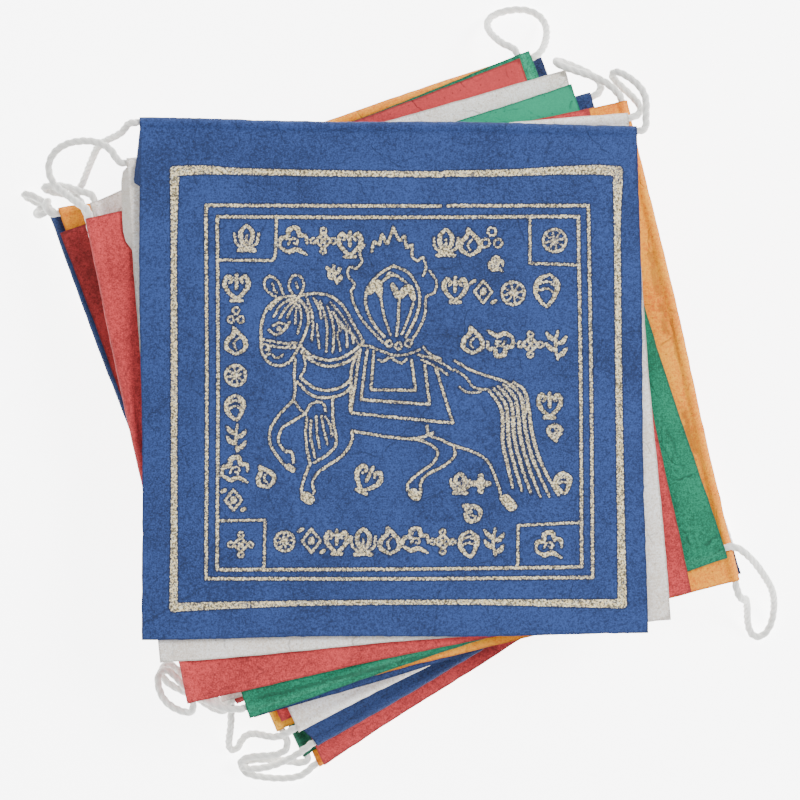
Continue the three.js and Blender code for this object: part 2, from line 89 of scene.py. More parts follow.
# The cord's routes from hem to hem and its two free ends, in millimetres, as in the part
ROUTES = {
    "tail_start": [
        (-77, 86.9, 36), (-78.3, 86.9, 36), (-79.5, 86.8, 35.1), (-80.4, 86.7, 33.4), (-81.6, 84.9, 31.2),
        (-84, 83.5, 28.2), (-87.3, 82.4, 24), (-90.4, 80.6, 19.5), (-92.4, 77.5, 14.5), (-94.2, 74.4, 9.5),
        (-95.8, 71.3, 5), (-97.4, 68.4, 2.3), (-98.5, 66, 1.3), (-99.5, 65, 1.2),
    ],
    "link_01_02": [
        (73, 84.2, 35.9), (74.3, 84.2, 35.9), (75.5, 85.1, 35.73), (75.3, 88.3, 35.1), (75.6, 92.6, 33.8),
        (75.1, 95.7, 32.8), (73.2, 98.6, 31.6), (69.7, 101.5, 29.6), (66.5, 103, 27.4), (65.4, 102, 25.05),
        (67.1, 100, 23.8), (69.9, 97.3, 25.05), (73.1, 93.7, 28.2), (74.3, 90.8, 31.2), (72.9, 89.2, 33.09),
        (71.8, 88.5, 33.8), (70.5, 88.4, 33.8),
    ],
    "link_02_03": [
        (-81, 74.7, 33.7), (-82.3, 74.6, 33.7), (-83.5, 75.4, 33.55), (-85.1, 78.6, 33), (-87.9, 80.5, 32),
        (-91, 81.6, 30.6), (-94.8, 81.8, 29), (-99.2, 81.1, 27), (-102.9, 79, 24.47), (-105.1, 75.5, 22.9),
        (-105, 72.2, 22.4), (-103.5, 69.1, 22.9), (-100.6, 66.6, 24.2), (-97.4, 64.2, 27),
        (-94.4, 62.1, 29.5), (-92.8, 61.2, 31.28), (-92.1, 60.1, 32), (-91.8, 58.9, 32),
    ],
    "link_03_04": [
        (-60.8, -87.8, 32), (-60.6, -89, 32), (-60.9, -90.3, 31.31), (-62.9, -90.7, 28.9),
        (-65.3, -90.2, 27.4), (-67.8, -89, 25.64), (-70.3, -86.9, 23.4), (-71.8, -83.7, 21.7),
        (-72.1, -80.4, 20.9), (-70.7, -78.1, 20.9), (-68.5, -78.6, 21.3), (-66.5, -80.6, 21.9),
        (-64.5, -82.5, 22.9), (-62, -84.6, 24.47), (-59.1, -86.2, 26.6), (-56.2, -87.6, 28),
        (-53.1, -88.9, 29.1), (-49.8, -89.8, 29.8), (-47.7, -89.6, 30.05), (-46.4, -89.7, 30.3),
        (-45.1, -89.2, 30.3),
    ],
    "link_04_05": [
        (99.7, -40.8, 30.4), (100.9, -40.4, 30.5), (102.6, -40.6, 30.5), (104.4, -41.6, 29.8),
        (106.6, -43.4, 27.8), (109.5, -46.3, 24), (112.4, -50.1, 19.5), (114.9, -53.8, 14),
        (116.2, -57.6, 8.8), (116.5, -61.5, 4.6), (116, -65.3, 2.2), (114.6, -68.2, 1.3),
        (112.6, -69.7, 1.2), (110.5, -69.4, 1.4), (109.1, -67, 2.8), (108.3, -63.6, 6),
        (107.9, -60.1, 10.4), (107, -57.2, 16), (106.3, -57, 20.6), (105.2, -56.8, 24.6),
        (103.9, -55.6, 27.2), (103.1, -53.2, 28.1), (102.8, -51.6, 28.1),
    ],
    "link_05_06": [
        (68.5, 94.2, 28.1), (68.2, 95.5, 28.1), (67.1, 96.5, 28.2), (66, 97.7, 28.3), (63.4, 99.7, 27.9),
        (60.4, 101.1, 27.5), (57, 102.3, 27.2), (53.5, 103.4, 27.1), (50.5, 104.5, 27),
        (48.7, 105.7, 25.64), (48.8, 106.6, 22.8), (50.7, 106.3, 21.2), (53.8, 105.2, 20.8),
        (57.2, 103.7, 21.2), (60.4, 101.8, 22), (62.5, 99.6, 23.2), (61.9, 96.7, 25.69), (61, 95.7, 26.3),
        (59.7, 95.3, 26.3),
    ],
    "link_06_07": [
        (-88, 50.9, 26.6), (-89.2, 50.5, 26.6), (-90.6, 51, 26.48), (-92.1, 54.7, 25.93),
        (-92.6, 57.5, 25.35), (-93.6, 60.4, 24.2), (-94.8, 62.9, 22.4), (-97, 65.5, 20.1),
        (-99.7, 66.3, 17.2), (-102.6, 66.7, 15.2), (-105.4, 67.3, 14.6), (-107, 68, 15.8), (-107, 68.5, 18),
        (-105.4, 68.8, 19.3), (-103.6, 68.9, 19.6), (-100.8, 68.6, 20), (-97.7, 67.8, 21),
        (-94.5, 66.5, 22.6), (-92.4, 66.4, 23.68), (-91.3, 65.4, 24.1), (-91, 64.1, 24.1),
    ],
    "link_07_08": [
        (-50.9, -87.9, 24.2), (-50.6, -89.2, 24.2), (-51.2, -90.7, 23.7), (-54.8, -90.2, 21.6),
        (-57.8, -88.5, 20.4), (-60.9, -86.6, 19), (-64.2, -85.2, 17.6), (-67.4, -83.9, 16.2),
        (-70.2, -82, 15), (-71.7, -79.7, 14), (-71, -77.6, 13.4), (-68.8, -77.1, 13.4), (-66.5, -78.7, 14),
        (-64.3, -81.1, 15), (-61.9, -83.3, 16.4), (-59.3, -85.2, 17.7), (-56.5, -86.6, 18.8),
        (-53.7, -87.6, 19.8), (-52.2, -88.7, 22), (-50.2, -87.8, 22.5), (-48.9, -87.3, 22.5),
    ],
    "link_08_09": [
        (89.3, -34.8, 22.5), (90.6, -34.4, 22.5), (93, -33.9, 22.5), (95.6, -34.7, 21.4), (97.6, -37, 19),
        (98.6, -40, 16.2), (98.9, -43.2, 13.4), (97.9, -45.8, 11.6), (96.1, -44.8, 12.2), (95, -41.9, 14.4),
        (94.6, -38.8, 17), (93.7, -36.4, 19.6), (92, -34.1, 20.7), (91.5, -32.8, 20.7),
    ],
    "link_09_10": [
        (37.2, 108.8, 20.7), (36.7, 110.1, 20.7), (35.7, 110.9, 20.11), (33.5, 111.7, 18.6),
        (31, 113.9, 15), (28.9, 116.5, 10.8), (28.3, 119.2, 6.8), (29.4, 121.5, 3.6), (32.1, 123.1, 1.7),
        (35.8, 124, 1.2), (39.8, 124.1, 1.2), (43.5, 122.9, 1.6), (45.9, 120.2, 3.6), (46.6, 116.8, 7.2),
        (46, 113.2, 11.6), (44.9, 110.5, 15.8), (43.7, 108.9, 17.6), (42.7, 108.1, 18.4),
        (41.5, 107.7, 18.4),
    ],
    "link_10_11": [
        (-102.5, 60.3, 18.5), (-103.8, 59.9, 18.5), (-105.7, 60.8, 18.9), (-106.4, 63, 17.8),
        (-106.2, 64.4, 13.6), (-106.5, 64.3, 10), (-107.6, 63.4, 7.6), (-109.3, 62.2, 7.2),
        (-110.2, 61.1, 8.8), (-109.6, 60.3, 11.6), (-107.6, 60.2, 14.2), (-105.4, 62.4, 15.52),
        (-104.3, 61.5, 15.9), (-103.8, 60.3, 15.9),
    ],
    "link_11_12": [
        (-50.8, -83.5, 16.1), (-50.3, -84.7, 16.1), (-50.4, -86, 15.39), (-50.1, -88.6, 14.6),
        (-50.2, -92.5, 12.6), (-50.4, -96.3, 10), (-51, -100, 6.6), (-51.3, -102.9, 3.4),
        (-50.7, -104.7, 1.6), (-49.3, -104.8, 1.2), (-48.2, -103.2, 1.3), (-47.4, -101.2, 2),
        (-45.8, -99.5, 3.4), (-43.4, -99, 5.2), (-40.7, -99.3, 7.4), (-37.9, -99.7, 9.8),
        (-35.1, -99.3, 12), (-32.5, -97.8, 13.51), (-31.5, -97.1, 14.4), (-30.4, -96.5, 14.4),
    ],
    "link_12_13": [
        (94.7, -32.8, 14.5), (95.8, -32.7, 14.5), (97.3, -34.4, 14), (98.6, -37.2, 12), (98.6, -40.4, 9.6),
        (98.7, -43.1, 7.4), (99.8, -45.5, 5.4), (101.7, -46.1, 4.8), (103, -44.2, 5.6), (102.9, -41.1, 7.2),
        (101.9, -38, 9.2), (100.6, -34.8, 11), (99.4, -33.3, 11.89), (98.6, -32.4, 12.7),
        (98.1, -31.2, 12.7),
    ],
    "link_13_14": [
        (39.7, 99.4, 12.7), (39.1, 100.6, 12.7), (42.4, 104, 11.4), (44.3, 102.9, 9.8), (45.3, 100.5, 8),
        (45.5, 97.7, 6.3), (44.6, 95, 5), (42.6, 94, 4.4), (40.6, 95.2, 4.8), (39.6, 97.7, 5.9),
        (39.7, 100.5, 7.6), (40.2, 104, 10.2), (38.8, 104, 10.8), (37.7, 103.4, 10.8),
    ],
    "link_14_15": [
        (-90.8, 38.4, 10.9), (-91.9, 37.8, 10.9), (-94.7, 41.8, 9.3), (-96.3, 45.8, 7.5),
        (-98.6, 50.7, 5.6), (-101.1, 55.2, 3.6), (-103.9, 59.3, 2), (-107.2, 62.5, 1.2),
        (-110.6, 64.5, 1.2), (-113.2, 65.9, 1.2), (-114.6, 66.7, 2), (-114.4, 67.2, 3.8),
        (-112.6, 66.9, 4.7), (-109.8, 65.5, 4.5), (-107, 63.5, 4.1), (-104.9, 60.4, 4.6),
        (-103.2, 55.9, 5.6), (-101.4, 50.9, 6.6), (-99.4, 46, 7.6), (-97.7, 41.7, 8.5), (-95.6, 37.8, 8.9),
        (-94.9, 36.8, 9.3), (-94.4, 35.6, 9.3),
    ],
    "link_15_16": [
        (-34.6, -97.7, 9.1), (-34, -98.9, 9.1), (-33.6, -100, 8.6), (-32.8, -102, 8.1),
        (-33.4, -103.9, 7.8), (-35.5, -105.1, 7.6), (-38.4, -105.6, 7.4), (-41.5, -105.8, 7.2),
        (-44.4, -106, 7), (-46.8, -106.8, 6.4), (-48, -108.2, 5.3), (-47, -109.7, 4.3),
        (-44.2, -110.1, 3.9), (-40.4, -109.7, 3.9), (-36.4, -108.5, 4.5), (-32.6, -106.8, 5.6),
        (-29.2, -104.7, 6.8), (-26.8, -102.9, 7.2), (-25.9, -102.1, 7.6), (-24.8, -101.4, 7.6),
    ],
    "link_16_17": [
        (95.2, -32.2, 7.6), (96.3, -31.8, 7.6), (97.6, -33.2, 6.9), (98, -35.6, 5.4), (97.9, -38.3, 3.8),
        (98.2, -41.1, 2.4), (99.1, -43.5, 1.5), (100.6, -43.8, 1.2), (101.8, -41.9, 1.2), (102.1, -39, 1.6),
        (101.6, -35.7, 2.6), (100.3, -32.7, 4), (99.4, -31.5, 4.85), (98.7, -30.6, 5.7), (98.1, -29.4, 5.7),
    ],
    "link_17_18": [
        (29.7, 96.5, 6), (29.1, 97.6, 6), (32.9, 101.1, 4.6), (35.4, 100.8, 3.4), (37.4, 99.1, 2.2),
        (38.7, 96.5, 1.3), (38.8, 93.8, 1.2), (37.2, 92.1, 1.2), (35.2, 92.8, 1.2), (33.8, 95.1, 1.2),
        (32.4, 97.6, 1.4), (30.7, 100.7, 3.54), (29.2, 100.7, 4), (28.2, 100, 4),
    ],
    "link_18_19": [
        (-86.6, 24.5, 4.45), (-87.6, 24.1, 4.5), (-88.9, 25.2, 4.3), (-89.6, 27.8, 3.2), (-90.1, 30.1, 2.2),
        (-91.3, 33.1, 1.5), (-92.7, 35.9, 1.2), (-93.9, 38.5, 1.2), (-95.4, 40, 1.2), (-97.1, 39.4, 1.2),
        (-97.1, 37.3, 1.2), (-96, 34.8, 1.2), (-94.6, 32, 1.2), (-93.1, 28.9, 1.3), (-91.2, 24.9, 1.95),
        (-90.8, 23.8, 2.6), (-90.2, 22.7, 2.6),
    ],
    "link_19_20": [
        (-26.8, -106.1, 2.6), (-26.5, -107, 2.6), (-27.9, -108.4, 2.2), (-30.6, -108.2, 1.4),
        (-33.1, -107.9, 1.2), (-36.2, -107.5, 1.2), (-39.9, -107.4, 1.2), (-43.6, -107.4, 1.2),
        (-46.4, -108.1, 1.2), (-47.7, -109.5, 1.2), (-46.8, -111.1, 1.2), (-44.3, -112.2, 1.2),
        (-40.8, -112.8, 1.2), (-36.5, -113.2, 1.2), (-32.5, -113.1, 1.2), (-28.8, -112.3, 1.2),
        (-26.2, -110.2, 1.25), (-25.4, -109.2, 1.3), (-24.3, -108.5, 1.3),
    ],
    "tail_end": [
        (92.8, -32.5, 1.3), (93.9, -31.8, 1.3), (94.4, -30.4, 1.27), (94.9, -27, 1.2), (93.5, -23.9, 1.2),
        (91.8, -20.5, 1.2), (90.1, -17.1, 1.2), (88.6, -13.7, 1.2), (87.2, -10.3, 1.2), (85.8, -6.9, 1.2),
        (84.6, -3.8, 1.2),
    ],
}

# How the sheets lie, as in the part
SAG = 0.8 * MM
SAG_REACH = 72 * MM
RAGGED = 0.4 * MM

# The flaps of the top two flags' hems show at their left edges. Each has its length as a share of the
# other flaps', how far it stands out at the hem and at its own edge, and how far its corner slopes.
FLAPS = {1: (0.92, 0.0, 2.0 * MM, 0.9 * MM), 2: (1.27, 2.1 * MM, 2.5 * MM, 4.0 * MM)}
# Sheets with an edge that bows near a corner: the edge, where from and to (0 is its middle and 0.5 its
# end), and how far
EDGE_BOWS = {
    7: ("top", -0.5, -0.34, 1.3 * MM),
    10: ("top", -0.5, -0.32, -2.1 * MM),
    16: ("left", -0.5, -0.36, 2.6 * MM),
}
# Creases in the paper, in millimetres: a flag's lines, each with its ends, width and depth of shade
CREASES = {
    1: [
        (-83.1, -68.4, -56.7, -51.9, 0.5, 0.7), (35.0, 56.7, 37.2, 54.5, 0.55, 0.85),
        (60.5, -31.5, 66.5, -34.5, 0.5, 0.6),
    ],
    4: [
        (-43.6, -86.8, 44.0, -64.8, 0.9, 0.75), (82.6, -21.4, 91.6, -18.4, 0.5, 0.8),
        (91.6, -41.6, 98.6, -36.4, 0.7, 0.8), (86.8, -35.6, 89.5, -42.2, 0.6, 0.7),
        (80.6, -3.0, 86.0, -14.0, 0.7, 0.5), (95.4, -43.6, 99.4, -40.6, 0.5, 0.6),
    ],
    5: [
        (76.6, 50.0, 82.4, 22.0, 1.6, 0.7), (86.6, 2.0, 91.2, -14.4, 1.4, 0.75),
        (83.0, 30.0, 86.0, 12.0, 0.8, 0.5),
    ],
}
# Where a flag's paper is lighter: the patch's middle and its reach in millimetres, and how much
PATCHES = {4: (48, 96, 70, 0.65), 8: (36, 106, 70, 0.55)}
# How strongly the paper's grain shows
GRAIN = 0.75
BLUE_GRAIN = 1.1
# How much lighter or darker than its dye each flag is, from the top of the stack to the bottom: partly the
# sheets' own depth of dye, partly painted shade on sheets that lie in the stack's shadow and painted light
# that lifts other sheets out of the stack's shade
DYE_AND_PAINTED_LIGHT = [
    1.0, 1.0, 0.97, 0.82, 1.0,
    0.8, 1.0, 0.69, 0.9, 1.0,
    0.7, 1.0, 1.3, 0.5, 1.3,
    0.72, 1.0, 0.95, 0.45, 1.0,
]


def name_of(number):
    return f"flag_{number:02d}_{FLAGS[number - 1].paper}"


# Settings
class FlagStringSizes(bpy.types.PropertyGroup):
    paper: FloatProperty(
        name="Paper",
        description="Thickness of the handmade paper",
        default=0.4 * MM,
        min=0.1 * MM,
        precision=5,
        unit="LENGTH",
    )
    hem: FloatProperty(
        name="Hem",
        description="Height of a hem with the cord inside it",
        default=2.3 * MM,
        min=0.5 * MM,
        precision=5,
        unit="LENGTH",
    )
    flap: FloatProperty(
        name="Hem flap",
        description="How far the turned edge reaches across the back of a flag",
        default=22 * MM,
        min=5 * MM,
        precision=4,
        unit="LENGTH",
    )
    cord: FloatProperty(
        name="Cord",
        description="Diameter of the twisted cotton cord",
        default=2.3 * MM,
        min=0.5 * MM,
        precision=5,
        unit="LENGTH",
    )
    twist: FloatProperty(
        name="Cord twist",
        description="Length of cord in which its strands go round once",
        default=8.4 * MM,
        min=2 * MM,
        precision=4,
        unit="LENGTH",
    )


def dye_property(name, description, colour):
    return FloatVectorProperty(name=name, description=description, subtype="COLOR", default=colour)


class FlagStringColours(bpy.types.PropertyGroup):
    blue: dye_property("Blue paper", "Dye of the blue sheets", (0.0165, 0.0415, 0.157))
    white: dye_property("White paper", "Undyed sheets", (0.93, 0.84, 0.735))
    red: dye_property("Red paper", "Dye of the red sheets", (0.45, 0.04, 0.042))
    green: dye_property("Green paper", "Dye of the green sheets", (0.003, 0.2, 0.104))
    yellow: dye_property("Yellow paper", "Dye of the yellow sheets", (1.0, 0.285, 0.008))
    ink: dye_property("Gold ink", "Ink of the top sheet's print", (0.88, 0.71, 0.375))
    cotton: dye_property("Cotton", "Undyed cotton of the cord", (0.78, 0.775, 0.74))


# Shader maths
class Value:
    """A shader socket that can stand in sums."""

    def __init__(self, shader, socket):
        self.shader = shader
        self.socket = socket

    def __add__(self, other):
        return self.shader.maths("ADD", self, other)

    def __radd__(self, other):
        return self.shader.maths("ADD", other, self)

    def __sub__(self, other):
        return self.shader.maths("SUBTRACT", self, other)

    def __rsub__(self, other):
        return self.shader.maths("SUBTRACT", other, self)

    def __mul__(self, other):
        return self.shader.maths("MULTIPLY", self, other)

    def __rmul__(self, other):
        return self.shader.maths("MULTIPLY", other, self)

    def between(self, low, high):
        """0 below low, 1 above high, and smooth between them."""
        settings = {"interpolation_type": "SMOOTHSTEP"}
        return self.shader.add("MapRange", settings, {"Value": self, "From Min": low, "From Max": high})


CREASE_WAVER = 3.2  # how far a crease wanders from its straight line, in millimetres
CREASE_END = 2.5  # over what length it fades in and out, in millimetres
PAPER_ROUGHNESS = 0.9
# colour of the painted highlights on the gold ink
PAINTED_GOLD_HIGHLIGHT = (1.0, 0.94, 0.72)
SHEET_BUMP = 0.25 * MM
CORD_BUMP = 0.2 * MM


class Shader:
    """One material's nodes."""

    def __init__(self, name):
        self.material = bpy.data.materials.new(name)
        self.material.use_nodes = True
        self.tree = self.material.node_tree
        self.tree.nodes.clear()

    def add(self, kind, settings=None, inputs=None, output=0):
        """A node of a kind: its settings come first, then the values or links of its sockets."""
        node = self.tree.nodes.new("ShaderNode" + kind)
        for key, value in (settings or {}).items():
            setattr(node, key, value)
        for key, value in (inputs or {}).items():
            if isinstance(value, Value):
                self.tree.links.new(value.socket, node.inputs[key])
            else:
                node.inputs[key].default_value = value
        return Value(self, node.outputs[output]) if len(node.outputs) else None

    def maths(self, operation, a, b):
        return self.add("Math", {"operation": operation}, {0: a, 1: b})

    def mix(self, share, first, second):
        """Two colours mixed. A colour is three numbers or a socket."""
        first, second = (c if isinstance(c, Value) else (*c, 1.0) for c in (first, second))
        settings = {"data_type": "RGBA", "clamp_result": True}
        return self.add("Mix", settings, {0: share, 6: first, 7: second}, output=2)

    def place(self, scale, turn=0.0, shift=(0.0, 0.0, 0.0)):
        """Object coordinates in millimetres, scaled and turned about Z for a pattern."""
        inputs = {
            "Vector": self.add("TexCoord", output=3),
            "Location": shift,
            "Rotation": (0.0, 0.0, turn),
            "Scale": tuple(s / MM for s in scale),
        }
        return self.add("Mapping", {"vector_type": "POINT"}, inputs)

    def noise(self, where, scale, detail=2.0, roughness=0.5, distortion=0.0):
        inputs = {
            "Vector": where,
            "Scale": scale,
            "Detail": detail,
            "Roughness": roughness,
            "Distortion": distortion,
        }
        return self.add("TexNoise", None, inputs)

    def crease(self, x0, y0, x1, y1, width):
        """1 on a wavering line between two points of the sheet, in millimetres, and 0 away from it."""
        length = math.hypot(x1 - x0, y1 - y0)
        turn = -math.atan2(y1 - y0, x1 - x0)
        cos, sin = math.cos(turn), math.sin(turn)
        shift = (-(x0 * cos - y0 * sin), -(x0 * sin + y0 * cos), 0.0)
        along = self.place((1, 1, 1), turn, shift)
        waver = self.noise(along, 0.22, 3.0, 0.65)
        run = self.add("SeparateXYZ", None, {"Vector": along}, output=0)
        off = self.add("SeparateXYZ", None, {"Vector": along}, output=1) + (waver - 0.5) * CREASE_WAVER
        near = 1 - self.maths("ABSOLUTE", off, 0.0).between(width * 0.25, width)
        begun = run.between(-0.5, CREASE_END)
        ended = run.between(length - CREASE_END, length + 0.5)
        return near * begun * (1 - ended) * waver.between(0.3, 0.5)

    def surface(self, inputs):
        """Joins the surface's sockets to the output and gives the material."""
        shader = self.add("BsdfPrincipled", None, inputs)
        self.add("OutputMaterial", None, {"Surface": shader})
        return self.material


def tinted(colour, share, more=0.0):
    """A colour made lighter or darker."""
    return tuple(min(1.0, c * share + more) for c in colour)


def gold_print(shader, where, grain, colour, dye, ink):
    """Speckled ink over the paper's colour: the new colour, and how much ink lies at each point."""
    depth = shader.add("Attribute", {"attribute_name": "ink"}, None, output=2)
    speckle = shader.noise(where, 1.55, 1.0, 0.5)
    fine = shader.noise(where, 1.7, 3.0, 0.65, 0.5)
    thin = shader.noise(where, 0.09, 3.0, 0.6)
    # ragged at its edges, and missing in the paper's hollows
    inked = (depth + fine * 0.9 - 0.43).between(-0.07, 0.09)
    inked = inked * (1 - (grain * 0.7 + thin * 0.35).between(0.56, 0.62) * 0.75)
    # the paper is darker where the ink's oil has spread into it
    edge = (depth + fine * 0.9 - 0.2).between(-0.32, 0.0) * (1 - inked)
    colour = shader.mix(edge * 0.8, colour, tinted(dye, 0.22))
    # bright and dull grains
    glitter = (speckle + thin * 0.25 - 0.12).between(0.4, 0.62)
    gold = shader.mix(glitter, tinted(ink, 0.12), ink)
    # painted highlights of bright gold in patches over the ink
    gold = shader.mix(fine.between(0.52, 0.6) * 0.8, gold, PAINTED_GOLD_HIGHLIGHT)
    return shader.mix(inked, colour, gold), inked


def paper_material(name, dye, turn, seed, rough, ink=None, lines=(), patch=None):
    """Handmade paper: mottled dye, long fibres, fine creases and specks, painted shade in the creases and
    along the edges, and a print where ink is given.
    """
    shader = Shader(name)
    shift = (seed * 17.3, seed * 9.1, seed * 5.7)
    where = shader.place((1, 1, 1), turn, shift)

    # cloudy dye, pulp and grain, and long fibres that cross
    clouds = shader.noise(where, 0.055, 4.0, 0.6)
    mottle = shader.noise(where, 0.9, 5.0, 0.72)
    grain = shader.noise(where, 2.1, 2.0, 0.7)
    along = shader.place((0.16, 2.3, 1), turn + 0.5, shift)
    across = shader.place((2.1, 0.14, 1), turn + 0.2, shift)
    fibres = shader.noise(along, 1.0, 3.0, 0.6, 1.2).between(0.60, 0.70)
    fibres = fibres + shader.noise(across, 1.0, 3.0, 0.6, 1.2).between(0.61, 0.71)

    # fine creases along the borders of bent cells, in patches, and specks
    bend = shader.noise(where, 0.13, 3.0, 0.6)
    shove = shader.add("TexNoise", None, {"Vector": where, "Scale": 0.13, "Detail": 3.0}, output=1)
    bent = shader.add("VectorMath", {"operation": "MULTIPLY_ADD"}, {0: shove, 1: (7, 7, 0), 2: where})
    cells = {"voronoi_dimensions": "2D", "feature": "DISTANCE_TO_EDGE"}
    wide_cells = shader.add("TexVoronoi", cells, {"Vector": bent, "Scale": 0.052})
    small_cells = shader.add("TexVoronoi", cells, {"Vector": bent, "Scale": 0.17})
    creases = (1 - wide_cells.between(0.0, 0.022)) * bend.between(0.42, 0.6)
    creases = creases + (1 - small_cells.between(0.0, 0.05)) * bend.between(0.5, 0.72) * 0.55
    dots = shader.add("TexVoronoi", {"voronoi_dimensions": "2D"}, {"Vector": where, "Scale": 0.22})
    specks = 1 - dots.between(0.035, 0.075)

    # the dye's tones, and then what lies over them
    dark = tuple(c * (0.42 + 0.33 * c) for c in dye)
    light = tinted(dye, 1.5, 0.003)
    tone = (mottle * 0.7 + clouds * 0.45 + grain * rough - (0.075 + 0.5 * rough)).between(0.27, 0.73)
    colour = shader.mix(tone, dark, light)
    if patch is not None:
        x, y, reach, share = patch
        places = {0: shader.place((1, 1, 0)), 1: (x, y, 0.0)}
        away = shader.add("VectorMath", {"operation": "DISTANCE"}, places, output=1)
        near = 1 - away.between(reach * 0.3, reach)
        colour = shader.mix(near * share, colour, tinted(dye, 2.1, 0.004))
    colour = shader.mix(fibres * 0.36, colour, tinted(dye, 1.7, 0.008))
    for x0, y0, x1, y1, width, shade in lines:
        creases = creases + shader.crease(x0, y0, x1, y1, width) * (shade * 1.5)
    # painted shade in the creases
    colour = shader.mix(creases * 0.55, colour, tinted(dye, 0.33))
    colour = shader.mix(specks * 0.5, colour, tinted(dye, 0.3))
    rim = shader.add("Attribute", {"attribute_name": "rim"}, None, output=2)
    # painted shade along the sheet's edges, broken up by the mottle
    painted_edge_shade = (1 - (rim + mottle * 0.6).between(0.45, 1.0)) * 0.6
    colour = shader.mix(painted_edge_shade, colour, tinted(dye, 0.38))
    height = mottle * 0.35 + grain * 0.25 + fibres * 0.25 - creases * 0.9
    finish = {"Roughness": PAPER_ROUGHNESS, "Metallic": 0.0}
    if ink is not None:
        colour, inked = gold_print(shader, where, grain, colour, dye, ink)
        finish = {"Roughness": PAPER_ROUGHNESS - inked * 0.3, "Metallic": inked * 0.15}
        height = height + inked * 0.15
    bump = shader.add("Bump", None, {"Strength": 0.5, "Distance": SHEET_BUMP, "Height": height})
    return shader.surface({"Base Color": colour, "Normal": bump, **finish})


def cotton_material(name, cotton):
    """Soft twisted cotton: fine yarn along the strands, shaded grooves and a little fuzz."""
    shader = Shader(name)
    twist = shader.add("UVMap", {"uv_map": "lay"}, None)
    groove = shader.add("Attribute", {"attribute_name": "groove"}, None, output=2)
    lay = shader.add("Mapping", None, {"Vector": twist, "Scale": (34.0, 900.0, 1.0)})
    yarn = shader.noise(lay, 1.0, 3.0, 0.6, 0.6)
    where = shader.place((1, 1, 1))
    fuzz = shader.noise(where, 3.4, 4.0, 0.7)
    clouds = shader.noise(where, 0.12, 2.0, 0.5)
    tone = (yarn * 0.6 + fuzz * 0.6 + clouds * 0.3 - 0.3).between(0.1, 0.75)
    colour = shader.mix(tone, tinted(cotton, 0.8), tinted(cotton, 1.16))
    # painted shade in the grooves between the strands
    colour = shader.mix(groove.between(0.3, 1.0) * 0.28, colour, tinted(cotton, 0.55))
    height = yarn * 0.6 + fuzz * 0.5
    bump = shader.add("Bump", None, {"Strength": 0.6, "Distance": CORD_BUMP, "Height": height})
    return shader.surface({"Base Color": colour, "Roughness": 0.95, "Normal": bump})


# Sheets
TORN = 0.16 * MM  # how rough a cut edge is, on top of its slow wander
FOLD_ROUND = 0.45 * MM  # how far in from a folded edge the paper takes to reach its thickness
HEM_FADE = 2.3 * MM  # how far beyond the cord a hem's ridge takes to lie down
MOUTH = 2.6 * MM  # how far from its ends a hem begins to open round the cord
MOUTH_RISE = 0.16  # how much higher a hem stands at its mouth, as a share
MOUTH_DEPTH = 1.6 * MM  # how deep the mouth is
MOUTH_WALL = 0.74  # size of the mouth's opening, as a share of the hem's end
SWELL = 0.22 * MM  # how far the whole stack heaves, at the top
RIPPLE = 0.13 * MM  # how far each sheet lies from its neighbours' waves
CURL = 0.34 * MM  # how far a sheet's free edges lift or drop
HEM_HELD = (1.5 * MM, 10.5 * MM)  # from where to where beyond the cord a sheet becomes free to wave
FLOOR_FLAT = 16 * MM  # how far beyond its cord the lowest sheet takes to lie on the floor
FLOOR_CLEAR = (0.05 * MM, 0.12 * MM)  # how far its hem and its field stay above the floor
FLOOR_FLAP = 8 * MM  # where its flap begins to press flat, and over what length
FLAP_START = 3 * MM  # where a flap that stands out begins
FLAP_SET = 1.5 * MM  # over what length it comes out
FLAP_STEP = 0.35 * MM  # how far the back takes to step up at the flap's edge
AT_EDGE = 40  # power that keeps a change to a sheet's very edge
HEM_ENDS = (0.0, 0.006, 0.014, 0.028)  # a sheet's closer columns at the end of its hem, as shares
PLAIN_STEP = 3.2 * MM  # steps across a plain sheet
PLAIN_COLUMNS = 46
PRINT_STEP = 0.515 * MM  # steps of the printed sheet's grid where its print lies
PRINT_TOP = 65.5 * MM  # how far from the sheet's middle that finer grid reaches
PRINT_BOTTOM = 72 * MM
PRINT_LEFT = 68.5 * MM
PRINT_RIGHT = 72.5 * MM

# Turns a distance across and a share along the hem into the flag's own u and v
FROM_HEM = {
    "top": lambda across, along: (along - 0.5, 0.5 - across),
    "bottom": lambda across, along: (along - 0.5, across - 0.5),
    "left": lambda across, along: (across - 0.5, along - 0.5),
    "right": lambda across, along: (0.5 - across, along - 0.5),
}


def smooth(x):
    x = min(1.0, max(0.0, x))
    return x * x * (3 - 2 * x)


def share_of_height(flag):
    return (flag.z - FLOOR_FLAG.z) / (TOP_FLAG.z - FLOOR_FLAG.z)


def sag(x, y, share):
    near = max(0.0, 1 - (x * x + y * y) / (SAG_REACH * SAG_REACH))
    return SAG * share * near * near


def on_flag(flag, u, v):
    """A point of a flag, where u and v run from -0.5 to 0.5 to the right and up."""
    wander = RAGGED * math.sin(7 * v + flag.turn) * (1 - 4 * v * v) * 2 * u
    ripple = RAGGED * math.sin(8 * u + flag.turn) * (1 - 4 * u * u) * 2 * v
    x = u * (flag.wide - flag.flare * v) + flag.lean * v + wander
    y = v * (flag.tall - flag.drop * u) + ripple
    angle = math.radians(flag.turn)
    cos, sin = math.cos(angle), math.sin(angle)
    return flag.x + x * cos - y * sin, flag.y + x * sin + y * cos


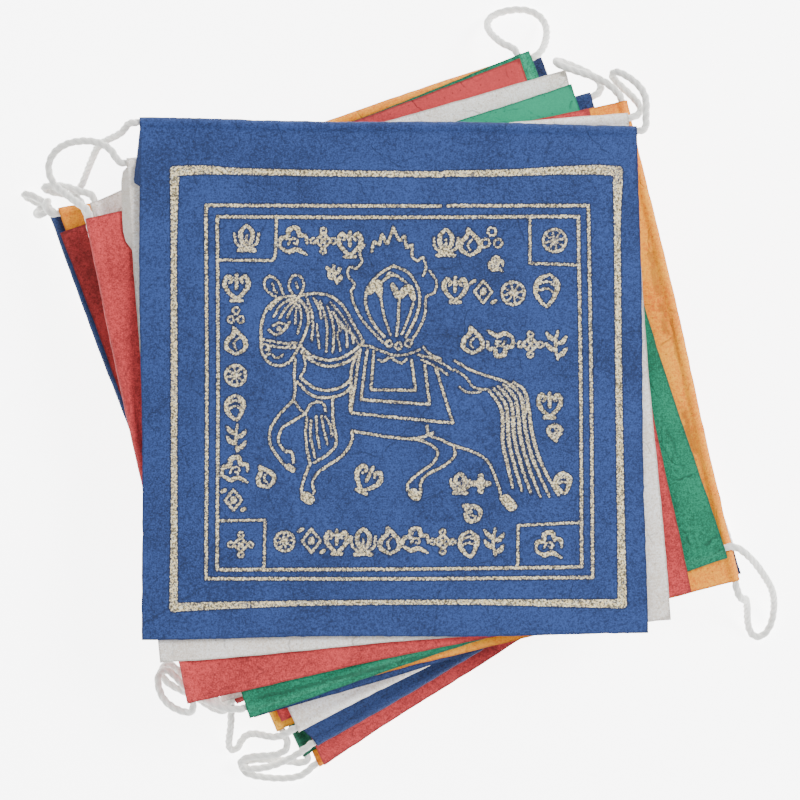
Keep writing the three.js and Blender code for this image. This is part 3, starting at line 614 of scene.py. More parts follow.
def hem_end(flag, side):
    """Where the cord leaves a hem in plan, and its direction there. side is 0 or 1 along the hem."""
    depth = flag.tall if flag.hem in ("top", "bottom") else flag.wide
    x, y = on_flag(flag, *FROM_HEM[flag.hem](flag.inset / depth, side))
    near_x, near_y = on_flag(flag, *FROM_HEM[flag.hem](flag.inset / depth, abs(side - 0.05)))
    length = math.hypot(x - near_x, y - near_y)
    return x, y, (x - near_x) / length, (y - near_y) / length


def ridge(across, inset):
    """How far a hem stands up at a distance from its edge, as a share of its height over the cord."""
    if across < inset:
        reach = min(inset, 1.75 * MM)
        return math.sqrt(max(0.0, 1 - ((inset - across) / reach) ** 2))
    return 0.5 + 0.5 * math.cos(math.pi * min(1.0, (across - inset) / HEM_FADE))


def hem_rows(inset):
    """Distances from the folded edge at which a hem has its rows of points."""
    rows = [inset * share for share in (0.0, 0.05, 0.18, 0.4, 0.62, 0.82, 1.0)]
    rows += [inset + HEM_FADE * share for share in (0.2, 0.4, 0.6, 0.8, 1.0)]
    return rows


def evenly(start, end, count):
    """The ends of a number of even steps from start to end."""
    return [start + (end - start) * i / count for i in range(1, count + 1)]


def field_rows(start, end, flap, step):
    """Distances across the plain field, with the flap's edge among them."""
    past = flap + FLAP_STEP
    rows = evenly(start, flap, max(2, round((flap - start) / step)))
    return rows + [past] + evenly(past, end, max(2, round((end - past) / step)))


def flap_length(number, sizes):
    return sizes.flap * FLAPS[number][0] if number in FLAPS else sizes.flap


def smoothed_piece(name, mesh, sharp_angle):
    """A mesh as a piece of the scene, smooth but for its edges over an angle in degrees."""
    mesh.polygons.foreach_set("use_smooth", [True] * len(mesh.polygons))
    mesh.set_sharp_from_angle(angle=math.radians(sharp_angle))
    piece = bpy.data.objects.new(name, mesh)
    bpy.context.collection.objects.link(piece)
    return piece


class Sheet:
    """One flag's paper as a closed mesh: two faces of one grid, walls round the rim and open hem ends."""

    def __init__(self, number, sizes, across, along, under=None):
        self.number = number
        self.flag = FLAGS[number - 1]
        self.sizes = sizes
        self.across = across
        self.along = along
        self.under = under or list(range(len(across)))
        wide_hem = self.flag.hem in ("top", "bottom")
        self.depth = self.flag.tall if wide_hem else self.flag.wide
        self.length = self.flag.wide if wide_hem else self.flag.tall
        self.share = share_of_height(self.flag)
        self.flap = flap_length(number, sizes)
        self.points = []
        self.faces = []
        self.rims = []

    def level(self, x, y, across, u, v):
        """Height of the paper's middle."""
        flag = self.flag
        heave = noise.noise(Vector((x / 0.05, y / 0.05, 3.0)))
        heave += 0.5 * math.sin(x / 0.031 + 1) * math.cos(y / 0.027)
        own = noise.noise(Vector((x / 0.02, y / 0.02, self.number * 7.7)))
        edge = max(abs(2 * u), abs(2 * v)) ** 6
        curl = noise.noise(Vector((x / 0.026, y / 0.026, self.number * 3.1 + 40)))
        from_hem = smooth((across - flag.inset - HEM_HELD[0]) / (HEM_HELD[1] - HEM_HELD[0]))
        free = (RIPPLE * own + CURL * curl * edge) * from_hem
        z = flag.z - sag(x, y, self.share) + SWELL * self.share * heave + free
        if flag is FLOOR_FLAG:
            hem_level = self.sizes.hem / 2 + FLOOR_CLEAR[0]
            field_level = self.sizes.paper * 0.5 + FLOOR_CLEAR[1] + abs(free)
            z = hem_level + (field_level - hem_level) * smooth((across - flag.inset - MM) / FLOOR_FLAT)
        return z

    def halves(self, across, along):
        """How far the upper and the lower face lie from the paper's middle."""
        half = self.sizes.paper / 2
        hem = self.sizes.hem / 2
        from_end = min(along, 1 - along) * self.length
        hem *= 1 + MOUTH_RISE * (1 - smooth(from_end / MOUTH))
        rounded = 1.0
        if across < FOLD_ROUND:
            rounded = math.sqrt(max(0.02, 1 - (1 - across / FOLD_ROUND) ** 2))
        ply = self.sizes.paper * 0.9 if across < self.flap + 0.1 * MM else 0.0
        if self.flag is FLOOR_FLAG:
            ply *= 1 - smooth((across - FLOOR_FLAP) / FLOOR_FLAP)
        stand = hem * ridge(across, self.flag.inset)
        return max(half * rounded, stand), max((half + ply) * rounded, stand)

    def point(self, row, along, upper):
        """Adds a point of the upper or the lower face, and gives its number."""
        across = self.across[row]
        u, v = FROM_HEM[self.flag.hem](across / self.depth, along)
        x, y = on_flag(self.flag, u, v)
        level = self.level(x, y, across, u, v)
        up, down = self.halves(across, along)
        # a cut edge is a little rough, and the flap can stand out beyond it
        angle = math.radians(self.flag.turn)
        right, up_edge = (math.cos(angle), math.sin(angle)), (-math.sin(angle), math.cos(angle))
        rough = TORN * noise.noise(Vector((x / 0.0032, y / 0.0032, self.number * 1.9)))
        rough += 0.6 * TORN * noise.noise(Vector((x / 0.0011, y / 0.0011, self.number * 2.3)))
        for side, axis in ((2 * u, right), (2 * v, up_edge)):
            push = rough * abs(side) ** AT_EDGE * (1 if side > 0 else -1)
            x += axis[0] * push
            y += axis[1] * push
        if self.number in FLAPS and not upper and u < 0 and FLAP_START < across < self.flap:
            _, first, last, slope = FLAPS[self.number]
            share = (across - FLAP_START) / (self.flap - FLAP_START)
            fade = smooth((across - FLAP_START) / FLAP_SET) * min(1.0, (self.flap - across) / slope)
            push = (first + (last - first) * share) * fade * abs(2 * u) ** AT_EDGE
            x -= right[0] * push
            y -= right[1] * push
        if self.number in EDGE_BOWS:
            side, start, end, height = EDGE_BOWS[self.number]
            quarter = math.pi / 2
            towards, run, out = (v, u, angle + quarter) if side == "top" else (-u, v, angle + 2 * quarter)
            share = min(1.0, max(0.0, (run - start) / (end - start)))
            push = height * math.sin(math.pi * share) ** 2 * max(0.0, 2 * towards) ** 6
            x += math.cos(out) * push
            y += math.sin(out) * push
        edge = min(0.5 - abs(u), 0.5 - abs(v)) * self.length
        self.rims.append(edge / MM)
        self.points.append((x, y, level + (up if upper else -down)))
        return len(self.points) - 1

    def build(self):
        """Makes the mesh: the upper and the lower face, the rim's walls and the two hem mouths."""
        top = [[self.point(i, b, True) for b in self.along] for i in range(len(self.across))]
        low = {i: [self.point(i, b, False) for b in self.along] for i in self.under}
        columns = range(len(self.along) - 1)
        for i in range(len(top) - 1):
            for j in columns:
                self.faces.append((top[i][j], top[i][j + 1], top[i + 1][j + 1], top[i + 1][j]))
        for i, k in zip(self.under, self.under[1:]):
            for j in columns:
                self.faces.append((low[i][j], low[k][j], low[k][j + 1], low[i][j + 1]))
        last = len(top) - 1
        for j in columns:
            self.faces.append((top[0][j + 1], top[0][j], low[0][j], low[0][j + 1]))
            self.faces.append((top[last][j], top[last][j + 1], low[last][j + 1], low[last][j]))
        mouth_rows = len(hem_rows(self.flag.inset)) - 1
        for j, flip in ((0, False), (len(self.along) - 1, True)):
            for i, k in zip(self.under, self.under[1:]):
                if k <= mouth_rows:
                    continue
                face = [low[i][j], low[k][j]] + [top[r][j] for r in range(k, i - 1, -1)]
                self.faces.append(face[::-1] if flip else face)
            over = [top[r][j] for r in range(mouth_rows + 1)]
            below = [low[r][j] for r in range(mouth_rows, -1, -1)]
            self.mouth(over + below, 1 if flip else 0)
        return self.mesh()

    def mouth(self, ring, side):
        """A hem's open end: a paper wall round a short hollow for the cord. side is 0 or 1 along the hem."""
        x, y, along_x, along_y = hem_end(self.flag, side)
        z = sum(self.points[i][2] for i in ring) / len(ring)
        radius = self.sizes.hem / 2 * (1 + MOUTH_RISE) * MOUTH_WALL
        loops = [ring]
        for inward in (0.0, MOUTH_DEPTH):
            loop = []
            for i in ring:
                px, py, pz = self.points[i]
                offset = (px - x) * -along_y + (py - y) * along_x
                bearing = math.atan2(pz - z, offset)
                offset = radius * math.cos(bearing) * 1.05
                wall_x = x - along_y * offset - along_x * inward
                wall_y = y + along_x * offset - along_y * inward
                self.points.append((wall_x, wall_y, z + radius * math.sin(bearing)))
                self.rims.append(0.0)
                loop.append(len(self.points) - 1)
            loops.append(loop)
        for outer, inner in zip(loops, loops[1:]):
            for k in range(len(ring)):
                n = (k + 1) % len(ring)
                face = (outer[k], outer[n], inner[n], inner[k])
                self.faces.append(face if side else face[::-1])
        cap = loops[-1]
        self.faces.append(cap if side else cap[::-1])

    def mesh(self):
        """The sheet as a piece, with each point's distance from the rim for its material."""
        clockwise = self.flag.hem in ("top", "left")
        faces = [tuple(reversed(f)) for f in self.faces] if clockwise else self.faces
        name = name_of(self.number)
        mesh = bpy.data.meshes.new(name + "_paper")
        mesh.from_pydata(self.points, [], faces)
        mesh.validate()
        rim = mesh.attributes.new("rim", "FLOAT", "POINT")
        rim.data.foreach_set("value", self.rims)
        return smoothed_piece(name + "_paper", mesh, 50)


def declare_flag(piece, number, sizes):
    """Attaches a flag to the root, where it stands for its solid, which is hidden."""
    flag = FLAGS[number - 1]
    across = flag.tall if flag.hem in ("top", "bottom") else flag.wide
    along = flag.wide if flag.hem in ("top", "bottom") else flag.tall
    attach(piece, "root")
    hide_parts(name_of(number))
    flat = (round(along, 4), round(across + flap_length(number, sizes), 4))


# The top flag's print
# Strokes are in millimetres from the middle of the top flag. Each is a width and its points, and a
# width of two numbers runs from the stroke's ends to its middle.
HAIR = 0.5
FINE = 0.57
LINE = 0.68
FRAME = 0.84
BRUSH = (0.56, 1.25)
DAB = (0.95, 1.7)
STRAND = (0.58, 0.95)
BAND_SHARE = 0.8  # how much of the band's widths is inked
INK_REACH = 3.6  # how far from a stroke the depth of ink is worked out
NO_INK = -2.0  # depth of ink away from every stroke

# The broad band, with its own width at each point and a break where the block missed the paper
BAND = [
    [(15.9, 61.6, 2.1), (34, 61.9, 2.3), (50, 62.6, 2.8), (61, 62.9, 3.4), (67.6, 62.5, 3.4)],
    [
        (67.8, 62.6, 3.4), (67.7, 56, 3.2), (67.6, 45, 2.3), (68.1, 0, 2.3), (68.9, -45, 2.7),
        (69.3, -66.9, 3.2),
    ],
    [
        (69.4, -67.3, 3.2), (50, -67.1, 2.6), (20, -66.9, 1.7), (-20, -67.2, 1.7),
        (-44, -67.8, 2.3), (-65.2, -68.6, 3.1),
    ],
    [(-65.3, -68.8, 3.0), (-65.2, -40, 2.2), (-65.3, 10, 2.3), (-65.4, 40, 2.1), (-65.2, 62, 3.2)],
    [
        (-65.2, 62.3, 3.4), (-56, 62.6, 3.2), (-46, 62.2, 2.3), (-20, 61.7, 2.1), (0, 61.5, 2.0),
        (14.4, 61.4, 2.1),
    ],
]
# Two thin frames, by their corners, and the four corner boxes
OUTER_FRAME = [(-55.8, 52.0), (58.9, 52.1), (60.4, -59.4), (-55.6, -60.0)]
INNER_FRAME = [(-52.4, 48.6), (55.9, 48.9), (57.1, -56.3), (-52.3, -57.3)]
FRAME_BREAK = (14.6, 16.8)
BOXES = [
    [(-34.6, 48.8), (-35.0, 36.8), (-35.8, 35.5), (-52.2, 35.6)],
    [(41.4, 48.8), (41.4, 34.8), (55.9, 34.3)],
    [(-52.3, -42.6), (-37.9, -42.4), (-38.2, -57.2)],
    [(37.9, -56.4), (38.0, -43.9), (57.0, -42.9)],
]
# The galloping horse, from its head to its tail
HORSE = [
    # brow, nose, lips and jaw
    (LINE, [
        (-33.4, 24.6), (-37.2, 21.4), (-39.0, 16.6), (-39.2, 11.6), (-38.9, 8.0), (-37.0, 5.0),
        (-33.6, 3.9), (-30.6, 5.0),
    ]),
    (LINE, [(-30.6, 5.0), (-28.6, 8.2), (-26.4, 12.6), (-25.0, 17.2), (-25.8, 21.4), (-28.2, 24.4)]),
    (HAIR, [(-38.2, 6.6), (-36.4, 7.6), (-34.6, 6.2), (-32.6, 7.2)]),
    (FINE, [(-37.8, 8.7), (-36.8, 9.2), (-36.6, 8.4)]),
    # noseband and cheek strap, each of two lines
    (FINE, [(-39.0, 11.9), (-35.4, 11.2), (-31.6, 10.6), (-28.4, 10.9)]),
    (FINE, [(-39.2, 10.5), (-35.6, 9.8), (-31.8, 9.3), (-29.0, 9.4)]),
    (HAIR, [(-28.9, 10.2), (-29.9, 11.1), (-31.0, 10.2), (-30.0, 9.2), (-28.9, 10.2)]),
    # eye
    (LINE, [(-36.8, 14.6), (-34.6, 13.2), (-32.2, 14.8), (-30.6, 17.0)]),
    (FINE, [(-35.8, 15.8), (-33.8, 16.8), (-31.8, 16.2)]),
    (1.3, [(-34.0, 15.0), (-33.8, 15.0)]),
    # ears
    (FINE, [(-34.6, 24.4), (-37.6, 26.6), (-38.2, 29.4), (-36.4, 30.8), (-34.0, 29.0), (-32.6, 25.4)]),
    (HAIR, [(-35.8, 28.6), (-35.4, 26.8), (-34.4, 25.8)]),
    (FINE, [(-29.2, 24.8), (-30.8, 27.4), (-30.0, 30.6), (-27.8, 31.0), (-26.4, 28.4), (-27.4, 25.0)]),
    (HAIR, [(-28.8, 29.0), (-28.2, 27.2)]),
    # forelock
    (FINE, [(-28.9, 24.9), (-33.2, 24.2), (-36.6, 20.8)]),
    (FINE, [(-29.0, 24.2), (-33.0, 22.4), (-35.4, 18.6)]),
    (FINE, [(-28.8, 23.6), (-31.6, 21.4), (-33.6, 18.2)]),
    (FINE, [(-28.4, 23.2), (-30.2, 20.8), (-31.4, 18.2)]),
    (HAIR, [(-28.0, 22.6), (-28.8, 20.0), (-28.9, 16.4)]),
    (HAIR, [(-27.6, 22.0), (-27.2, 18.4), (-28.2, 13.6)]),
    # crest of the neck
    (LINE, [(-27.8, 25.0), (-23.4, 25.6), (-18.6, 24.9), (-14.4, 21.6), (-11.6, 16.6), (-8.6, 11.4)]),
    (HAIR, [(-18.4, 23.0), (-14.8, 18.8), (-12.2, 14.2), (-10.2, 11.0)]),
    # collar and the two breast straps
    (LINE, [(-27.6, 10.0), (-24.0, 7.0), (-18.8, 5.6), (-13.6, 7.0), (-8.6, 10.8)]),
    (LINE, [(-27.2, 8.2), (-23.6, 5.2), (-18.6, 3.8), (-13.2, 5.2), (-9.4, 8.6)]),
    (LINE, [(-27.4, 0.4), (-23.4, -2.6), (-19.0, -3.4), (-14.6, -2.2), (-11.8, 0.4)]),
    (LINE, [(-28.4, -0.8), (-24.2, -4.8), (-19.4, -5.6), (-14.8, -4.6), (-11.8, -2.2)]),
    (FINE, [(-26.4, 7.4), (-26.0, 3.6), (-27.4, 0.4)]),
    (LINE, [(-10.4, 8.0), (-12.0, 3.0), (-12.2, -2.6), (-12.4, -9.4)]),
    # breast
    (LINE, [(-29.0, 6.0), (-29.2, 0.6), (-29.0, -3.6), (-29.6, -6.6)]),
    (FINE, [(-29.2, -6.4), (-27.8, -8.8), (-25.8, -10.6)]),
    # foreleg lifted in front
    (LINE, [(-29.6, -6.6), (-33.2, -10.2), (-36.2, -14.8), (-36.4, -19.4), (-34.0, -23.6), (-31.0, -27.0)]),
    (LINE, [
        (-26.2, -10.6), (-29.8, -12.8), (-32.9, -14.9), (-33.9, -18.6), (-32.0, -21.6),
        (-30.0, -22.0), (-29.4, -25.0),
    ]),
    (1.7, [(-31.0, -26.4), (-29.6, -27.2)]),
    # shoulder and its tuft
    (FINE, [(-25.8, -10.4), (-24.4, -7.8), (-21.8, -6.8), (-20.2, -8.0), (-19.8, -9.8)]),
    (LINE, [(-25.4, -11.6), (-25.8, -16.0), (-25.4, -21.0), (-24.4, -25.4)]),
    (FINE, [(-24.2, -12.4), (-24.3, -17.4), (-23.0, -23.6)]),
    (FINE, [(-22.6, -11.2), (-22.4, -16.0), (-21.6, -20.8)]),
    (FINE, [(-21.0, -11.0), (-20.4, -15.0), (-19.2, -19.6)]),
    (HAIR, [(-19.8, -11.4), (-18.4, -14.0), (-18.0, -17.4)]),
    (LINE, [(-17.7, -5.6), (-17.6, -12.0), (-16.6, -18.8), (-18.6, -22.2), (-23.2, -25.2)]),
    # foreleg behind it
    (LINE, [(-24.4, -25.4), (-26.0, -29.2), (-27.0, -33.2), (-26.8, -36.0)]),
    (LINE, [
        (-11.9, -15.6), (-12.0, -18.8), (-14.8, -23.0), (-19.4, -26.2), (-22.4, -28.4),
        (-23.6, -31.2), (-23.2, -34.2),
    ]),
    (3.0, [(-25.6, -35.4), (-24.6, -36.2)]),
    # belly
    (LINE, [(-11.9, -15.6), (-6.0, -16.6), (1.0, -17.6), (7.6, -17.8), (12.4, -16.2)]),
    # nearer hind leg
    (LINE, [
        (4.4, -17.8), (9.8, -18.8), (13.8, -21.6), (12.2, -25.4), (8.0, -28.4), (5.0, -31.4),
        (4.9, -33.6),
    ]),
    (LINE, [(18.8, -19.8), (18.8, -23.2), (15.4, -26.2), (10.8, -28.6), (8.7, -31.4), (9.0, -34.0)]),
    (3.0, [(6.6, -34.4), (7.4, -35.0)]),
    # farther hind leg
    (LINE, [
        (10.6, -14.0), (11.2, -16.6), (14.8, -18.2), (18.8, -20.0), (24.4, -21.8), (28.6, -24.4),
        (30.8, -28.6), (32.6, -33.4),
    ]),
    (3.2, [(34.4, -36.2), (36.0, -38.0)]),
    (FINE, [(32.6, -33.4), (32.8, -36.2)]),
    # lines from the saddle to the tail
    (FINE, [(9.4, 9.8), (11.4, 7.6), (14.8, 6.0)]),
    (FINE, [(7.8, 7.4), (13.6, 5.6), (18.4, 2.6)]),
    (FINE, [(9.0, 5.8), (13.2, 3.8), (17.0, 1.2)]),
    (LINE, [(18.8, 5.6), (24.0, 2.6), (29.8, 0.6), (35.4, -1.4), (38.8, -5.0), (40.2, -10.4)]),
    (FINE, [(19.0, 2.8), (22.4, 0.4), (24.6, -2.4), (28.6, -3.2)]),
    (FINE, [(20.4, -2.4), (22.8, -4.0), (26.6, -3.8)]),
]
# The saddle cloth's three borders, open at the top
SADDLE_CLOTH = [
    [(-5.4, 8.4), (-6.2, -3.2), (7.2, -3.4), (5.9, 5.8)],
    [(-7.4, 8.8), (-9.2, -6.2), (11.4, -7.6), (9.9, 4.2)],
    [(-9.6, 8.4), (-12.2, -10.2), (18.4, -13.2), (13.2, 3.4)],
]
# The jewel on its lotus, in flames
JEWEL = [
    (LINE, [(-2.2, 12.6), (-5.6, 16.8), (-7.8, 22.2), (-7.2, 27.4), (-3.8, 31.4), (0.4, 34.0)]),
    (LINE, [(0.4, 34.0), (5.0, 31.8), (8.0, 27.0), (8.2, 21.8), (6.4, 16.6), (4.2, 12.6)]),
    (FINE, [(-0.4, 13.2), (-2.4, 19.2), (-3.6, 26.4)]),
    (LINE, [(1.4, 12.8), (2.0, 18.6), (2.2, 25.2)]),
    (FINE, [(3.0, 13.4), (5.2, 18.8), (6.4, 22.6)]),
    ((1.4, 2.4), [(-6.6, 26.0), (-4.4, 28.6), (-3.6, 25.2)]),
    ((1.2, 2.2), [(0.2, 28.2), (2.2, 25.0), (5.0, 27.4), (6.6, 24.0)]),
    (LINE, [(-3.2, 29.2), (0.6, 31.2), (4.2, 29.0)]),
    (HAIR, [(-1.6, 30.9), (-0.4, 32.0), (0.9, 31.0)]),
    (FINE, [(-2.6, 11.0), (-5.0, 13.4), (-8.6, 17.4), (-11.4, 22.6), (-12.2, 26.4)]),
    (FINE, [(-12.2, 26.4), (-11.2, 28.4), (-13.2, 31.0), (-12.6, 33.6), (-10.6, 33.0)]),
    (FINE, [(-10.6, 33.0), (-9.0, 35.2), (-9.6, 38.0), (-8.2, 40.2)]),
    (LINE, [(-6.0, 38.2), (-5.4, 41.2), (-3.8, 40.2), (-3.0, 43.4), (-1.4, 40.6), (0.4, 45.6)]),
    (LINE, [(0.4, 45.6), (2.2, 41.6), (3.8, 43.0), (4.4, 39.4), (6.0, 40.4), (6.0, 37.0)]),
    (FINE, [(6.0, 37.0), (7.6, 35.4), (9.4, 36.6), (10.2, 33.4), (9.4, 31.0)]),
    (FINE, [(11.4, 32.4), (13.4, 29.2), (12.8, 26.0), (10.4, 24.6), (10.0, 19.6), (8.6, 15.8), (6.2, 11.8)]),
    (FINE, [(-1.9, 10.6), (-0.9, 11.7), (0.1, 10.6), (-0.9, 9.5), (-1.9, 10.6)]),
    (FINE, [(1.0, 9.9), (2.0, 11.0), (3.0, 9.9), (2.0, 8.8), (1.0, 9.9)]),
    (FINE, [(4.0, 10.7), (5.0, 11.8), (6.0, 10.7), (5.0, 9.6), (4.0, 10.7)]),
    (FINE, [(-10.0, 10.2), (-6.6, 9.8), (-3.6, 8.6), (0.4, 7.2), (4.6, 7.4), (8.4, 8.8)]),
    (FINE, [(-4.0, 6.0), (-2.6, 5.2), (-0.8, 6.4), (1.0, 5.6), (2.8, 4.8), (4.6, 5.9)]),
]


def ring(radius, x=0.0, y=0.0, count=10):
    return [
        (x + radius * math.cos(2 * math.pi * i / count), y + radius * math.sin(2 * math.pi * i / count))
        for i in range(count + 1)
    ]


def cloud_curl():
    return [
        (BRUSH, [
            (-4.0, -1.5), (-3.7, 1.0), (-1.7, 1.3), (-1.3, 3.5), (1.1, 4.0), (1.9, 1.9), (3.7, 1.8),
            (4.1, -0.6),
        ]),
        (BRUSH, [(-4.0, -1.7), (-1.4, -3.1), (1.0, -2.4), (4.0, -3.9)]),
        (FINE, [(-1.5, -0.9), (-0.4, 0.9), (1.3, 0.5), (1.1, -0.8), (0.1, -0.5)]),
    ]


def lotus_bud():
    strokes = [(FINE, [(0, -2.8), (0, 0.9)]), (DAB, [(-2.7, -4.1), (0, -3.5), (2.7, -4.1)])]
    for side in (1, -1):
        strokes.append((BRUSH, [(0, 4.3), (side * 1.9, 1.9), (side * 1.6, -0.9), (0, -2.6)]))
        strokes.append((LINE, [(side * 1.0, -3.0), (side * 3.3, -1.7), (side * 3.9, 1.5)]))
    return strokes


def lozenge():
    corners = [(0, 3.9), (3.1, 0), (0, -3.9), (-3.1, 0), (0, 3.9)]
    sides = [(LINE, [a, b]) for a, b in zip(corners, corners[1:])]
    dot = (1.8, [(0, -0.3), (0, 0.3)])
    return sides + [dot, (DAB, [(-4.2, 3.2), (-3.0, 3.9)]), (DAB, [(3.2, -3.8), (4.3, -3.2)])]


def flame():
    return [
        (BRUSH, [(0, -4.2), (-2.9, -2.0), (-2.3, 0.7), (-0.9, 1.9), (-0.7, 4.5)]),
        (BRUSH, [(0, -4.2), (2.9, -2.3), (2.9, 0.2), (1.3, 2.2), (-0.7, 4.5)]),
        (FINE, [(0.1, -2.4), (-0.7, -0.7), (0.5, 0.8)]),
    ]


def three_rings():
    return [(FINE, ring(1.35, x, y)) for x, y in ((0, 2.3), (-2.1, -1.5), (2.1, -1.5))]


def sprig():
    strokes = [(LINE, [(0.4, -4.3), (-0.3, 0), (0.4, 4.1)])]
    for side, y in ((1, -2.8), (-1, -1.2), (1, 0.8), (-1, 2.0)):
        strokes.append((BRUSH, [(0, y - 0.6), (side * 1.7, y), (side * 3.0, y + 1.7)]))
    return strokes


def palmette():
    strokes = [(DAB, [(0, -0.6), (0, 3.6)]), (DAB, [(-1.6, -4.1), (1.6, -4.1)])]
    for side in (1, -1):
        curl = [(0, -3.6), (2.2, -1.8), (3.6, 0.8), (2.6, 3.1), (1.3, 2.1), (2.0, 1.0)]
        strokes.append((BRUSH, [(side * x, y) for x, y in curl]))
    return strokes


def lattice_knot():
    square = [(-2.4, 0), (0, 2.4), (2.4, 0), (0, -2.4), (-2.4, 0)]
    strokes = [(LINE, [a, b]) for a, b in zip(square, square[1:])]
    strokes += [(LINE, [(-1.2, -1.2), (1.2, 1.2)]), (LINE, [(-1.2, 1.2), (1.2, -1.2)])]
    for x, y in ((0, 1), (0, -1), (1, 0), (-1, 0)):
        strokes.append((FINE, ring(0.85, 3.2 * x, 3.2 * y)))
    return strokes


def wheel():
    strokes = [(LINE, ring(3.4, count=14)), (1.5, [(0, -0.1), (0, 0.1)])]
    for i in range(4):
        x, y = math.cos(math.pi * i / 4 + 0.2), math.sin(math.pi * i / 4 + 0.2)
        strokes.append((HAIR, [(-3.2 * x, -3.2 * y), (3.2 * x, 3.2 * y)]))
    return strokes


def shell():
    return [
        (BRUSH, [(0.4, 4.2), (-2.3, 2.4), (-2.8, -0.8), (-0.8, -3.4), (0.8, -4.4)]),
        (BRUSH, [(0.6, 4.0), (2.8, 1.8), (2.2, -1.6), (0.8, -4.4)]),
        (FINE, [(-2.2, 1.4), (0.2, 2.2), (2.4, 1.2)]),
        (FINE, [(-2.3, -0.6), (0.2, 0.4), (2.2, -0.6)]),
    ]


# Ornaments in rows: drawing, place, size and turn in degrees
ORNAMENTS = [
    (cloud_curl, -29.6, 41.2, 1.0, 0), (lattice_knot, -20.6, 41.4, 0.95, 0), (palmette, -12.6, 40.6, 0.95, 0),
    (lotus_bud, 16.2, 41.0, 0.95, 0), (flame, 23.4, 41.0, 0.95, 0), (three_rings, 30.0, 42.2, 0.9, 0),
    (cloud_curl, 31.2, 34.4, 0.5, 0), (sprig, -17.2, 31.4, 0.66, 10), (palmette, 19.0, 27.0, 0.95, 0),
    (lozenge, 27.4, 26.2, 0.85, 0), (wheel, 36.4, 25.8, 1.0, 0), (shell, 46.4, 26.8, 1.15, -8),
    (flame, 24.2, 11.6, 0.95, 0), (cloud_curl, 32.6, 10.8, 0.95, 180), (lattice_knot, 41.6, 10.4, 0.95, 0),
    (sprig, 49.4, 10.4, 1.0, 0), (palmette, 47.4, -7.6, 0.95, 0), (flame, 49.0, -16.0, 0.6, 180),
    (shell, 51.4, -31.0, 0.75, 0), (palmette, -46.6, 27.6, 1.0, 0), (three_rings, -46.8, 18.8, 0.7, 0),
    (flame, -46.8, 11.2, 0.95, 0), (wheel, -46.8, 1.0, 0.9, 0), (shell, -47.0, -8.6, 0.9, 0),
    (sprig, -46.6, -17.8, 0.95, 0), (cloud_curl, -47.0, -27.4, 0.95, 0), (lozenge, -47.4, -36.4, 0.8, 0),
    (flame, -38.0, -29.4, 0.8, 20), (palmette, -7.2, -30.0, 1.05, -25), (lotus_bud, 20.6, -31.2, 0.72, 0),
    (lattice_knot, 26.8, -31.4, 0.68, 0), (flame, 24.0, -40.0, 0.75, 40), (wheel, -32.0, -48.8, 0.85, 0),
    (lozenge, -24.0, -48.6, 0.9, 0), (palmette, -16.4, -48.8, 0.9, 0), (lotus_bud, -8.4, -48.8, 0.95, 0),
    (flame, -0.6, -48.6, 0.95, 0), (cloud_curl, 7.2, -48.6, 0.92, 0), (lattice_knot, 15.4, -48.8, 0.92, 0),
    (shell, 23.2, -49.4, 0.92, 0), (sprig, 30.8, -48.8, 0.95, 0), (lotus_bud, -43.6, 42.2, 0.92, 0),
    (wheel, 48.8, 41.6, 1.0, 0), (lattice_knot, -45.2, -49.8, 0.92, 0), (cloud_curl, 47.2, -49.8, 0.95, 0),
]


def smooth_line(points, step=0.5):
    """Points close together on a smooth curve through the given ones."""
    if len(points) < 3:
        return [tuple(p) for p in points]
    p = [np.array(q, float) for q in points]
    p = [2 * p[0] - p[1]] + p + [2 * p[-1] - p[-2]]
    line = []
    for a, b, c, d in zip(p, p[1:], p[2:], p[3:]):
        count = max(2, int(np.linalg.norm(c[:2] - b[:2]) / step))
        for i in range(count):
            t = i / count
            slope, bend, twist = c - a, 2 * a - 5 * b + 4 * c - d, 3 * b - a - 3 * c + d
            line.append(0.5 * (2 * b + slope * t + bend * t**2 + twist * t**3))
    line.append(p[-2])
    return [tuple(q) for q in line]


def mane_and_tail():
    """Locks from the crest down to the collar, and the tail's strands sweeping down and out."""
    strokes = []
    # each lock's root on the crest and its tip near the collar
    locks = [
        (-25.6, 24.6, -24.0, 11.4), (-23.4, 24.2, -21.8, 9.2), (-21.4, 23.4, -19.6, 8.2),
        (-19.4, 22.0, -17.6, 8.0), (-17.6, 20.2, -15.4, 8.4), (-16.0, 17.8, -13.4, 9.4),
        (-14.6, 15.4, -11.6, 10.8),
    ]
    for i, (x, y, end_x, end_y) in enumerate(locks):
        middle = ((x + end_x) / 2 + 1.0, (y + end_y) / 2 + 0.6)
        if i % 3 == 1:
            # a lock in two short strokes
            strokes.append((FINE, [(x, y), (x + 1.4, y - 2.6), (x + 2.2, y - 6.0)]))
            strokes.append((HAIR, [(middle[0] - 0.9, middle[1] - 1.0), (end_x, end_y)]))
        else:
            strokes.append((FINE, [(x, y), middle, (end_x, end_y)]))
    for i in range(6):
        root = (29.0 + 1.5 * i, -3.0 + 0.45 * i)
        knee = (33.0 + 1.45 * i, -9.4 + 1.0 * i)
        run = (33.4 + 1.75 * i, -19.0 + 0.6 * i)
        bend = (35.0 + 2.0 * i, -26.4 + 0.2 * i)
        tip = (36.4 + 2.75 * i, -32.6 - 0.9 * i + (i > 3) * 1.1 * (i - 3))
        strokes.append((STRAND, [root, knee, run, bend, tip]))
    return strokes


